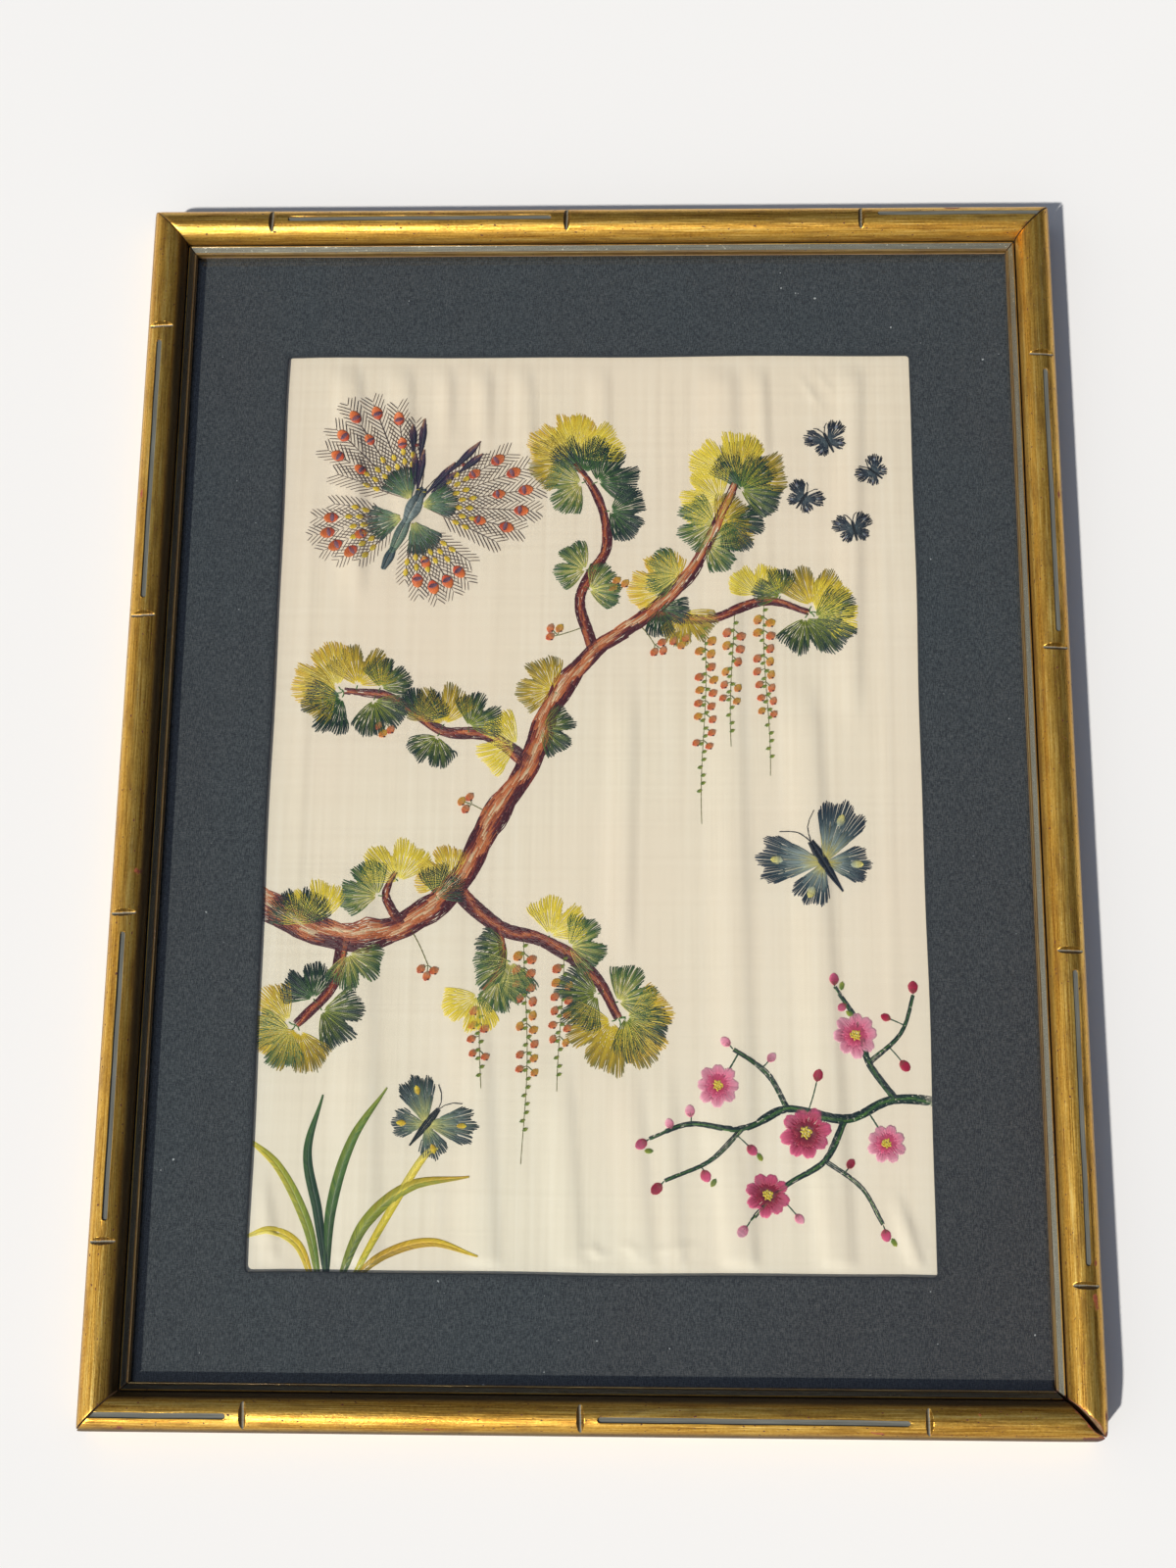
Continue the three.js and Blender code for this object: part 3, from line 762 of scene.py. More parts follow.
def dye(name):
    value = np.array(THREAD_COLOURS[name]) / 255
    return np.where(value <= 0.04045, value / 12.92, ((value + 0.055) / 1.055) ** 2.4)


def shade(names, share):
    """The colour at a share from 0 to 1 along a row of named ones."""
    position = float(np.clip(share, 0, 1)) * (len(names) - 1)
    first = int(position)
    second = min(first + 1, len(names) - 1)
    return dye(names[first]) + (dye(names[second]) - dye(names[first])) * (position - first)


def heading(degrees):
    return np.array([math.cos(math.radians(degrees)), math.sin(math.radians(degrees))])


def left_of(way):
    return np.array([-way[1], way[0]])


# A stitch from end to end: places along it, its rise over the silk and its width there
STITCH_ALONG = np.array([0, 0.07, 0.25, 0.5, 0.75, 0.93, 1])
STITCH_RISE = np.array([-0.35, 0.55, 0.95, 1.0, 0.95, 0.55, -0.35])
STITCH_TAPER = np.array([0.5, 0.85, 1.0, 1.0, 1.0, 0.85, 0.5])
LAYER_HEIGHT = 0.095
GLASS_GAP = 0.08
FOOT_DEPTH = 0.08


class Threads:
    """Stitches for one joined mesh: low threads that dive into the silk at both ends."""

    def __init__(self):
        self.ends, self.colours, self.sizes = [], [], []

    def stitch(self, start, end, colours, tones=(0, 1), width=0.5, height=0.34, layer=0, bow=0.0):
        """One thread; its tones at both ends are shares along a row of named colours."""
        self.ends.append((*start, *end))
        self.colours.append([*shade(colours, tones[0]), *shade(colours, tones[1])])
        self.sizes.append((width, height, layer, bow))

    def make(self, name, material):
        ends, colours, sizes = map(np.array, (self.ends, self.colours, self.sizes))
        count, rows, t = len(ends), len(STITCH_ALONG), STITCH_ALONG[None, :, None]
        start, run = ends[:, None, :2], ends[:, None, 2:] - ends[:, None, :2]
        length = np.maximum(np.linalg.norm(run, axis=2, keepdims=True), 0.05)
        across = np.stack([-run[..., 1], run[..., 0]], axis=-1) / length
        width, height, layer, bow = (sizes[:, i][:, None] for i in range(4))
        centre = start + run * t + across * bow[..., None] * 4 * t * (1 - t)
        x, y = centre[..., 0], centre[..., 1]
        inside = np.minimum(np.minimum(x - WINDOW_LEFT, WINDOW_RIGHT - x),
                            np.minimum(y - WINDOW_BOTTOM, WINDOW_TOP - y))
        room = 0.3 + 0.7 * smoothstep(inside, 0.5, 6)
        base = silk_height(x, y) + LAYER_HEIGHT * layer * np.maximum(STITCH_RISE, 0) * room
        crown = np.minimum(base + height * STITCH_RISE * room, GLASS_BOTTOM - GLASS_GAP)
        base = np.minimum(base, crown - 0.1)
        half = 0.5 * width * STITCH_TAPER
        points = np.empty((count, rows, 3, 3))
        for column, side in enumerate((-1, 0, 1)):
            points[:, :, column, :2] = centre + across * (half * side)[..., None]
            points[:, :, column, 2] = base - FOOT_DEPTH if side else crown
        quads = grid_quads(rows, 3)[None, :, ::-1] + (np.arange(count) * rows * 3)[:, None, None]
        piece = make_piece(name, points.reshape(-1, 3), quads.reshape(-1, 4).tolist(), material)
        dyes = np.ones((count, rows, 3, 4))
        mixed = colours[:, None, :3] + (colours[:, None, 3:] - colours[:, None, :3]) * t
        mixed = np.clip(mixed * (1 + rng.normal(0, 0.07, (count, 1, 1))), 0, 1)
        dyes[..., :3] = mixed[:, :, None, :]
        give_attribute(piece, "dye", dyes.reshape(-1, 4))
        strand = np.empty((count, rows, 3, 3))
        strand[..., 0] = (length[..., 0] * STITCH_ALONG)[:, :, None] + rng.uniform(0, 300, (count, 1, 1))
        strand[..., 1] = np.stack([-half, half * 0, half], axis=-1)
        strand[..., 2] = rng.uniform(0, 90, (count, 1, 1))
        give_attribute(piece, "strand", strand.reshape(-1, 3))
        settle(piece, "silk")
        return piece


def thread_material():
    """Glossy silk floss whose colour comes from each stitch, with fine lengthwise filaments."""
    look = new_look("silk_floss", "strand")
    filament = look.noise((0.25, 16, 1), 2, 0.6)
    dyed = look.named("dye", "Color")
    deep = look.blend(1.0, dyed, (0.66, 0.63, 0.60), "MULTIPLY")
    return look.surface(Base_Color=look.blend(look.spread(filament, 0.35, 0.65), deep, dyed),
                        Roughness=look.spread(filament, 0.3, 0.7, 0.34, 0.52), Specular_IOR_Level=0.42,
                        Sheen_Weight=0.05, Normal=look.bump(filament, 0.04, 0.5))


def smooth_line(points, step=0.5):
    """Even places on a smooth line through points (x, y, width) and the line's directions."""
    points = np.array(points, float)
    padded = np.concatenate([[2 * points[0] - points[1]], points, [2 * points[-1] - points[-2]]])
    t = np.linspace(0, 1, 24, endpoint=False)[:, None]
    pieces = []
    for before, start, end, after in zip(padded, padded[1:], padded[2:], padded[3:]):
        pieces.append(0.5 * (2 * start + (end - before) * t
                             + (2 * before - 5 * start + 4 * end - after) * t ** 2
                             + (3 * start - before - 3 * end + after) * t ** 3))
    dense = np.concatenate(pieces + [points[-1:]])
    travelled = np.concatenate([[0], np.cumsum(np.hypot(*np.diff(dense[:, :2], axis=0).T))])
    even = np.linspace(0, travelled[-1], max(3, int(travelled[-1] / step)))
    places = np.stack([np.interp(even, travelled, dense[:, i]) for i in range(dense.shape[1])], axis=1)
    direction = np.gradient(places[:, :2], axis=0)
    return places, direction / np.linalg.norm(direction, axis=1, keepdims=True), even


def index_at(distance, travelled):
    return int(np.interp(distance, travelled, np.arange(len(travelled))))


def bough(threads, points, colours, layer, pitch=0.42, longest=8.0):
    """Long and short stitches that run along a bough, lane by lane, dark at its rims."""
    places, direction, travelled = smooth_line(points)
    lanes = max(2, round(places[:, 2].max() / pitch))
    total = travelled[-1]
    knots = rng.uniform(0, total, max(1, int(total / 26)))

    def at(distance, lane):
        index = index_at(distance, travelled)
        swell = sum(0.22 * math.exp(-((distance - knot) / 4) ** 2) for knot in knots)
        half = places[index, 2] / 2 * (1 + swell + 0.08 * math.sin(distance / 3.1 + 2 * lane))
        return places[index, :2] + left_of(direction[index]) * lane * half

    for lane in np.linspace(-1, 1, lanes):
        distance = -rng.uniform(0, longest)
        while distance < total:
            length = rng.uniform(0.5, 1) * longest
            low, high = max(distance, 0), min(distance + length, total)
            spacing = places[index_at(low, travelled), 2] / lanes
            if high - low > 0.8 and rng.uniform() < min(1, spacing / 0.27):
                wave = 0.28 * math.sin(low / 7 + 1.3) + 0.2 * math.sin(low / 2.7)
                lit = 1 - abs(lane - 0.15 - wave) + rng.normal(0, 0.12)
                threads.stitch(at(low, lane), at(high, lane), colours, (lit, lit + rng.normal(0, 0.08)),
                               0.52, layer=layer + rng.uniform(0, 0.8))
            distance += length * 0.86


def stem(threads, points, colour, width, layer, longest=4.0):
    """A thin line of overlapping stitches."""
    places, _, travelled = smooth_line([(*point, 1.0) for point in points])
    for start in np.arange(0, travelled[-1], longest * 0.8):
        low = index_at(start, travelled)
        high = index_at(min(start + longest, travelled[-1]), travelled)
        if high > low:
            threads.stitch(places[low, :2], places[high, :2], [colour], (0, 0), width, 0.3, layer)


def fan(threads, root, facing, radius, colours, layer, spread_angle):
    """A ginkgo leaf: pleats from its stalk to a wavy rim that is notched in the middle."""
    count = int(math.radians(spread_angle) * radius / 0.60)
    phase = rng.uniform(0, 6)
    starts = (0.05, 0.46, 0.24, 0.56)
    for number, turn in enumerate(np.linspace(-1, 1, count)):
        way = heading(facing + turn * spread_angle / 2 + rng.normal(0, 0.5))
        notch = 1 - 0.38 * hump(turn, 0.09)
        rim = notch * (1 + 0.045 * math.sin(10 * turn + phase)) * (1 - 0.12 * turn ** 2)
        reach = radius * rim * rng.uniform(0.96, 1.03)
        inner = min(starts[number % 4], 0.6 * notch) + rng.uniform(-0.03, 0.03)
        tone = 0.20 * math.sin(0.85 * number + phase) + rng.uniform(-0.08, 0.08)
        threads.stitch(root + way * radius * inner, root + way * reach, colours,
                       (0.1 + 0.7 * inner + tone, 0.95 + tone), layer=layer + rng.uniform(0, 0.8),
                       bow=0.9 * turn)


def satin_leaf(threads, points, colours, layer, slant, pitch=0.42):
    """A leaf or blade of slanted satin stitches from its rib to each edge."""
    places, direction, travelled = smooth_line(points, pitch)
    for place_now, way, distance in zip(places, direction, travelled):
        half = place_now[2] / 2
        if half < 0.15:
            continue
        for side, lift in ((-1, 0), (1, 1)):
            start = place_now[:2] - way * 0.2
            end = place_now[:2] + left_of(way) * side * half + way * half * slant
            tone = distance / travelled[-1] * 0.75 + 0.18 * lift + rng.normal(0, 0.07)
            threads.stitch(start, end, colours, (tone, tone + 0.08), layer=layer + 0.25 * lift)


def satin_spot(threads, spot, long_half, short_half, turn, colours, layer, pitch=0.42):
    """An oval of side by side stitches; the colours run across it."""
    along, across = heading(turn), heading(turn + 90)
    for share in np.linspace(-0.94, 0.94, max(4, round(2 * long_half / pitch))):
        half = short_half * math.sqrt(1 - share ** 2) * rng.uniform(0.94, 1.05)
        middle = spot + along * share * long_half
        tone = 0.5 + 0.45 * share
        threads.stitch(middle - across * half, middle + across * half, colours, (tone, tone + 0.15),
                       height=0.42, layer=layer)


def ray_patch(threads, root, facing, spread_angle, reach, colours, layer, pieces=3):
    """Long and short stitches that radiate from a root; reach gives each ray's length."""
    count = max(5, int(math.radians(spread_angle) * reach(0.0) * 0.72 / 0.46))
    for turn in np.linspace(-1, 1, count):
        way = heading(facing + turn * spread_angle / 2)
        total = reach(turn)
        breaks = (np.arange(pieces + 1) + rng.uniform(-0.3, 0.3, pieces + 1)) / pieces
        breaks[0], breaks[-1] = 0.10, rng.uniform(0.96, 1.02)
        for low, high in zip(breaks, breaks[1:]):
            low = max(low - 0.06, 0.06)
            foot = root + left_of(way) * rng.normal(0, 0.12)
            threads.stitch(foot + way * total * low, foot + way * total * high, colours,
                           (low + rng.normal(0, 0.05), high + rng.normal(0, 0.05)),
                           layer=layer + rng.uniform(0, 0.7))


def petal(threads, root, facing, length, width, colours, layer):
    way = heading(facing)
    for share in np.linspace(-1, 1, max(7, round(width / 0.4))):
        side = left_of(way) * share * width
        rim = length * math.sqrt(1 - 0.72 * share ** 2) * (1 - 0.06 * hump(share, 0.2))
        middle = root + way * length * rng.uniform(0.36, 0.6) + side * 0.36
        threads.stitch(root + way * length * 0.14 + side * 0.12, middle, colours, (0.0, 0.45), layer=layer)
        threads.stitch(middle - way * 0.5, root + way * rim + side * 0.5, colours, (0.4, 1.0), 0.52, 0.38,
                       layer + 0.4)


def blossom(threads, spot, size, turn, colours, layer=1):
    for number in range(8):
        petal(threads, spot, turn + 45 * number + rng.normal(0, 2.5), size * rng.uniform(0.94, 1.06),
              size * 0.70, colours, layer + 0.35 * (number % 2))
    for number in range(16):
        middle = spot + heading(turn + number * 137.5) * size * 0.055 * math.sqrt(number)
        satin_spot(threads, middle, 0.55, 0.48, 20 * number, ["gold", "yellow", "straw"], layer + 2.2, 0.4)


def nearest_on(lines, spot):
    """The nearest place to the spot on the lines."""
    places = np.concatenate([smooth_line(points)[0][:, :2] for points in lines])
    return places[np.argmin(np.hypot(places[:, 0] - spot[0], places[:, 1] - spot[1]))]


def stalk(threads, lines, spot, sway, colour, width):
    """A stem to the spot from the nearest of the lines; gives its root."""
    root = nearest_on(lines, spot)
    stem(threads, [root, (root + spot) / 2 + [sway, 0], spot], colour, width, 0.4, 3)
    return root


# Bough and branches as (x, y, width)
BOUGH = [(-141, -44, 11), (-122, -55, 12), (-100, -63, 10.5), (-77, -58, 10), (-56, -42, 9.5),
         (-42, -15, 9), (-27, 9, 8), (-17, 36, 7.5), (-1, 57, 6.5), (21, 73, 6), (40, 93, 5),
         (51, 115, 4), (58, 131, 3)]
BRANCHES = [
    [(-57, -42, 6.5), (-39, -58, 5.5), (-18, -65, 4.8), (0, -78, 4), (10, -95, 3)],
    [(-27, 9, 5), (-44, 21, 4.4), (-63, 23, 3.8), (-84, 37, 3.2), (-104, 40, 2.4)],
    [(-1, 57, 4.6), (-7, 81, 4), (4, 103, 3.4), (0, 125, 2.8), (-10, 141, 2)],
    [(21, 73, 4.2), (47, 71, 3.6), (69, 79, 3), (88, 74, 2.2)],
    [(-100, -63, 5), (-104, -83, 4), (-118, -98, 2.8)],
    [(-77, -58, 3.4), (-84, -46, 2.6), (-80, -36, 1.6)],
    [(-39, -58, 3), (-36, -72, 2.4), (-44, -84, 1.6)],
]
# Fan leaves as (x, y, facing in degrees, radius); the yellow ones lie behind the green ones
YELLOW_FANS = [
    (-14, 149, 118, 17), (3, 151, 66, 17), (-22, 138, 168, 14), (56, 139, 112, 18),
    (71, 136, 52, 17), (43, 127, 155, 15), (90, 80, 82, 15), (101, 73, 20, 15),
    (-111, 46, 140, 17), (-98, 51, 78, 15), (-119, 35, 190, 13), (-60, 31, 100, 15),
    (-123, -96, 165, 15), (-112, -107, -104, 15), (12, -104, -78, 17), (-1, -101, -132, 16),
    (24, -95, -18, 16), (-16, -58, 62, 14), (-79, -40, 104, 15), (-24, 44, 150, 13),
    (66, 88, 100, 12), (-46, -86, -120, 13), (30, 84, 140, 15), (50, 112, 20, 14),
    (-30, 20, 170, 14), (-110, -56, 112, 15), (-58, -40, 130, 13), (36, 74, -70, 13),
]
GREEN_FANS = [
    (-6, 136, 96, 16), (10, 138, 34, 16), (-16, 125, 196, 14), (13, 121, -8, 14),
    (63, 127, 84, 16), (77, 121, 12, 16), (49, 113, 176, 14), (70, 107, -34, 14),
    (95, 67, -8, 16), (84, 65, -78, 14), (77, 85, 128, 11), (-105, 35, 214, 15),
    (-92, 33, -62, 14), (-88, 45, 58, 12), (-52, 25, 48, 13), (-67, 16, -112, 12),
    (-107, -93, -24, 15), (-127, -110, -142, 14), (-115, -84, 118, 13), (15, -94, -48, 16),
    (-7, -90, 196, 15), (21, -83, 34, 14), (-26, -74, -118, 14), (-7, -62, 14, 13),
    (-35, -66, -160, 11), (-88, -46, 148, 14), (-67, -42, 58, 12), (-3, 84, 20, 12),
    (-12, 98, 160, 12), (-38, -80, -60, 12), (32, 92, 170, 13), (46, 104, -20, 13),
    (26, 76, -50, 12), (-118, -58, 96, 14), (-22, 24, -10, 12), (-72, 28, 80, 12),
    (-96, -70, -60, 13),
]


def draw_boughs(threads):
    bark = ["maroon", "maroon", "russet", "copper"]
    for points in BRANCHES:
        bough(threads, points, bark, 0.4, 0.4, 6)
    bough(threads, BOUGH, bark + ["copper", "cream"], 0.8)


def fan_root(threads, spot):
    """Brings a fan's root close to its branch and gives it a short stalk."""
    root = nearest_on([BOUGH] + BRANCHES, spot)
    away = spot - root
    distance = max(np.linalg.norm(away), 0.01)
    foot = root + away * min(1, 3.0 / distance)
    bend = (root + foot) / 2 + left_of(away) / distance * 0.5
    stem(threads, [root, bend, foot], "moss", 0.6, 0.6, 2.0)
    return foot


def draw_fans(threads):
    yellows = [["straw", "yellow", "gold"], ["straw", "yellow", "yellow"], ["yellow", "gold", "olive"]]
    greens = [["lime", "green", "deep_green"], ["moss", "deep_green", "deep_green"],
              ["straw", "moss", "green"]]
    for fans, rows, growth, layer, narrow in ((YELLOW_FANS, yellows, 1.2, 1.0, 128),
                                              (GREEN_FANS, greens, 1.16, 2.2, 124)):
        for x, y, facing, radius in fans:
            foot = fan_root(threads, np.array([x, y]))
            colours = rows[int(rng.integers(3))]
            fan(threads, foot, facing, radius * growth, colours, layer, rng.uniform(narrow, narrow + 32))


def barbed_vein(threads, start, end, barb, layer):
    """A shaft with slanting barbs on both sides that cross those of the next one."""
    length = np.linalg.norm(end - start)
    way = (end - start) / length
    threads.stitch(start, end, ["taupe", "umber"], width=0.42, layer=layer + 1)
    for distance in np.arange(length * 0.28, length, 2.3):
        size = barb * min(1.0, (length - distance) / 9 + 0.45)
        foot = start + way * distance
        for hand in (-1, 1):
            tip = foot + (way * 0.80 + left_of(way) * hand * 0.60) * size * rng.uniform(0.88, 1.08)
            threads.stitch(foot, tip, ["taupe", "umber", "umber", "taupe"],
                           (rng.uniform(0, 1), rng.uniform(0, 1)), 0.36, 0.32, layer + rng.uniform(0, 1))


def eye_spot(threads, spot, size, turn, layer):
    satin_spot(threads, spot, size * 0.5, size * 0.42, turn, ["vermilion", "orange"], layer, 0.4)
    satin_spot(threads, spot - heading(turn) * size * 0.1, size * 0.28, size * 0.24, turn + 90,
               ["violet", "heather"], layer + 1.4, 0.36)


LARGE_BUTTERFLY = (-79, 117)
LARGE_TURN = -24
# Each wing as its root, the length of its barbs, layer, lift of its scaled root and that
# root's layer, then its veins as angle and length
LARGE_WINGS = [
    ((2.4, -2), 7.5, 0.3, -38, 2, [(-12, 31), (-24, 36), (-36, 38), (-48, 37), (-60, 33), (-72, 25)]),
    ((2.6, 6), 8.5, 1.2, 38, 3,
     [(-3, 36), (9, 43), (21, 49), (33, 51), (45, 49), (57, 44), (68, 35)]),
]
# Dark bars on the upper wings as start, end and direction from the body's middle
WING_BARS = [(8, 26, 74), (10, 24, 66), (22, 40, 71), (24, 37, 64)]
# Parts of the body as start, end, width and colours
BODY_PARTS = [
    (-26, -16, 4.4, ["slate", "teal"]), (-18, -2, 5.6, ["sage", "slate"]),
    (-4, 9, 6.8, ["mist", "slate"]), (7, 13, 5, ["slate", "ink"]),
]
FEELER = [(0.8, 13), (4, 22), (11, 30)]


def on_butterfly(spot, hand=1):
    """From the butterfly's own place, mirrored by hand, to the picture's."""
    x, y = spot[0] * hand, spot[1]
    way = heading(LARGE_TURN)
    return np.array([LARGE_BUTTERFLY[0] + x * way[0] - y * way[1],
                     LARGE_BUTTERFLY[1] + x * way[1] + y * way[0]])


def large_vein(threads, start, number, last, angle, length, hand, root, barb, layer):
    """A barbed vein with its eye spots and scales."""
    tip = np.array(root) + heading(angle) * length * rng.uniform(0.97, 1.03)
    end = on_butterfly(tip, hand)
    barbed_vein(threads, start, end, barb, layer)
    facing = math.degrees(math.atan2(*(end - start)[::-1]))
    run = (end - start) / length
    if 0 < number < last:
        eye_spot(threads, end - run * 6.5, 6.0, facing, layer + 3)
    if number % 2 == 1 and length > 36:
        eye_spot(threads, end - run * 18, 5.2, facing, layer + 3)
    for distance in (16.0, 20.5):
        satin_spot(threads, start + run * (distance + 1.5 * (number % 2)), 1.5, 1.2, facing,
                   ["gold", "yellow"], layer + 2.4)


def draw_large_butterfly(threads):
    """Barbed taupe wings with eye spots, green scaled roots and a slate body."""
    for hand in (1, -1):
        for root, barb, layer, lift, root_layer, veins in LARGE_WINGS:
            start = on_butterfly(root, hand)
            for number, (angle, length) in enumerate(veins):
                large_vein(threads, start, number, len(veins) - 1, angle, length, hand, root, barb, layer)
            middle = LARGE_TURN + lift if hand > 0 else LARGE_TURN + 180 - lift
            ray_patch(threads, start, middle, 74, lambda t: 16 * (1 - 0.12 * t * t),
                      ["straw", "sage", "moss", "slate", "deep_green"], root_layer)
        for low, high, lift in WING_BARS:
            start, end = (on_butterfly(heading(lift) * reach + [0, 4], hand) for reach in (low, high))
            satin_leaf(threads, [(*start, 0.6), (*((start + end) / 2), 3.2), (*end, 0.5)],
                       ["violet", "navy", "violet", "peach"], 4.6, 1.4)
    for low, high, size, colours in BODY_PARTS:
        start, end = on_butterfly((0, low)), on_butterfly((0, high))
        satin_leaf(threads, [(*start, size * 0.5), (*((start + end) / 2), size), (*end, size * 0.6)],
                   colours, 5.4, 0.3)
    for hand in (1, -1):
        bend = [on_butterfly(spot, hand) for spot in FEELER]
        stem(threads, bend, "umber", 0.42, 3)
        satin_spot(threads, bend[-1], 1.1, 0.8, LARGE_TURN + 50, ["vermilion", "umber"], 3.4)
        satin_spot(threads, on_butterfly((1.4, 12), hand), 0.7, 0.6, 0, ["yellow", "ink"], 6.6, 0.4)


# Each as x, y, size, turn, colours of its wings and colours of the spot on each
SMALL_BUTTERFLIES = [
    (92, -32, 27, 32, ["yellow", "mist", "slate", "teal", "navy"], ["mist", "straw"]),
    (-65, -137, 20, -38, ["straw", "sage", "slate", "deep_green"], ["gold", "yellow"]),
    (97, 150, 10.5, 24, ["slate", "navy", "ink"], ["mist", "heather"]),
    (86, 124, 9.5, -34, ["slate", "navy", "ink"], ["mist", "heather"]),
    (107, 110, 9.8, 12, ["slate", "navy", "ink"], ["mist", "heather"]),
    (116, 136, 8.5, 50, ["slate", "navy", "ink"], ["mist", "heather"]),
]
# Lower and upper wing as direction, share of the size, spread and lift
SMALL_WINGS = [(-34, 0.70, 62, 0), (36, 1.0, 56, 0.8)]


def small_butterfly(threads, spot, size, turn, colours, edge, layer=1):
    for hand in (1, -1):
        for facing, share, spread_angle, lift in SMALL_WINGS:
            toward = turn + 90 - hand * (90 - facing)
            ray_patch(threads, spot, toward, spread_angle,
                      lambda t, r=share: size * r * (1 - 0.16 * t * t + 0.05 * math.cos(9 * t)),
                      colours, layer + lift)
            satin_spot(threads, spot + heading(toward) * size * share * 0.7, size * 0.09, size * 0.07,
                       toward, edge, layer + 2.6, 0.4)
    head = spot + heading(turn + 90) * size * 0.36
    tail = spot - heading(turn + 90) * size * 0.5
    satin_leaf(threads, [(*tail, 0.5), (*spot, size * 0.17), (*head, size * 0.1)],
               [colours[-1], "ink"], layer + 3, 0.3)
    for hand in (1, -1):
        stem(threads, [head, head + heading(turn + 90 + 20 * hand) * size * 0.25,
                       head + heading(turn + 90 + 38 * hand) * size * 0.5], "ink", 0.34, layer + 2)


def draw_small_butterflies(threads):
    for x, y, size, turn, colours, edge in SMALL_BUTTERFLIES:
        small_butterfly(threads, np.array([x, y]), size, turn, colours, edge)


# Twigs as rows of (x, y, width), then flowers as (x, y, size, turn, tone)
TWIGS = [
    [(141, -128, 3.6), (118, -126, 3.2), (98, -134, 2.8), (76, -130, 2.4), (58, -138, 2),
     (38, -136, 1.6), (22, -142, 1.2)],
    [(118, -126, 2.4), (108, -112, 2), (104, -96, 1.6), (95, -82, 1.2)],
    [(98, -134, 2.2), (90, -150, 1.8), (74, -160, 1.4), (61, -173, 1.1)],
    [(76, -130, 1.8), (68, -116, 1.5), (55, -107, 1.2)],
    [(58, -138, 1.6), (46, -150, 1.3), (28, -158, 1)],
    [(108, -112, 1.5), (121, -100, 1.2), (126, -85, 1)],
    [(90, -150, 1.4), (104, -160, 1.2), (112, -174, 1)],
]
BLOSSOMS = [(83, -139, 10.5, 12, "deep"), (103, -101, 9.5, 50, "pale"), (49, -121, 9, 0, "pale"),
            (68, -163, 9, 30, "deep"), (114, -143, 8, 70, "pale")]
# Buds as (x, y, size, turn of the leaf beside some of them)
BUDS = [
    (95, -79, 4.6, 80), (126, -82, 4.8, 70), (52, -104, 4.4, 120), (19, -144, 4.8, 180),
    (25, -161, 5, 200), (58, -177, 4.8, 250), (113, -178, 4.6, 300), (88, -117, 4.6, 100),
    (38, -131, 4.6, 90), (44, -156, 4.8, 240), (122, -113, 4.8, 60), (30, -136, 4, 110),
    (98, -90, 3.8, 150), (115, -94, 3.8, 90), (80, -172, 4.2, 270), (62, -146, 4.6, 300),
    (100, -151, 4, 20), (70, -110, 4, 60),
]


def bud(threads, spot, size, colours, layer=1):
    root = stalk(threads, TWIGS, spot, 0.3, "green", 0.6)
    turn = math.degrees(math.atan2(spot[1] - root[1], spot[0] - root[0]))
    satin_spot(threads, spot, size / 2, size / 2 * 0.92, turn, colours, layer, 0.38)
    foot = spot + heading(turn + 180) * size * 0.5
    for offset in (-40, 0, 40):
        threads.stitch(foot, foot + heading(turn + offset) * size * 0.42, ["maroon", "moss"],
                       width=0.45, layer=layer + 0.8)


def draw_blossoms(threads):
    for points in TWIGS:
        bough(threads, points, ["deep_green", "deep_green", "green", "moss"], 0.3, 0.4, 5)
    for number, (x, y, size, turn) in enumerate(BUDS):
        colours = [["crimson", "pink"], ["crimson", "crimson"], ["pink", "blush"]][number % 3]
        bud(threads, np.array([x, y]), size, colours)
        if number % 3 == 0:
            satin_spot(threads, np.array([x + 3, y - 2.6]), 1.6, 1.2, turn, ["moss", "lime"], 1)
    for x, y, size, turn, tone in BLOSSOMS:
        spot = np.array([x, y])
        stalk(threads, TWIGS, spot, 0.4, "green", 0.8)
        colours = ["maroon", "crimson", "pink"] if tone == "deep" else ["crimson", "pink", "blush"]
        blossom(threads, spot, size, turn, colours)


# Hanging strings as (x, y, length)
STRINGS = [(44, 71, 88), (56, 73, 60), (70, 79, 78), (-44, -84, 42), (-27, -62, 92), (-13, -67, 60)]
# Clusters of three berries as (x, y, facing)
BERRY_CLUSTERS = [(-50, -8, 160), (-16, 64, 130), (10, 84, 110), (-86, 26, 250), (34, 64, 280),
                  (-66, -74, 260), (24, 60, 320)]


def berry(threads, spot, size, layer):
    colours = ["vermilion", "orange", "peach"] if rng.uniform() < 0.65 else ["orange", "gold"]
    satin_spot(threads, spot, size, size * 0.92, rng.uniform(20, 70), colours, layer, 0.4)
    satin_spot(threads, spot + np.array([0.3, -0.75]) * size, 0.3, 0.3, 0, ["maroon"], layer + 1.2, 0.3)


def hanging_string(threads, x, y, length):
    """A hanging stem with pairs of orange berries, then green knots, then a thin tail."""
    phase = rng.uniform(0, 6)

    def at(depth, aside=0.0):
        return np.array([x + 1.1 * math.sin(depth / 17 + phase) + aside, y - depth])

    stem(threads, [at(depth) for depth in np.arange(0, length, 3.0)], "olive", 0.4, 0.2, 3.5)
    for depth in np.arange(7, length * 0.60, 5.6):
        for hand in (-1, 1):
            if rng.uniform() < 0.12:
                continue
            end = at(depth) + np.array([hand * rng.uniform(2.2, 3.2), -1.2 - 1.4 * (hand > 0)])
            threads.stitch(at(depth), end, ["olive", "moss"], width=0.4, height=0.32, layer=0.8)
            berry(threads, end, 2.2 - 0.9 * depth / length, 1.2)
    for depth in np.arange(4, length * 0.86, 3.3):
        satin_spot(threads, at(depth, 0.7 * (-1) ** int(depth)), 0.95, 0.8, 20, ["moss", "lime"], 1.8)


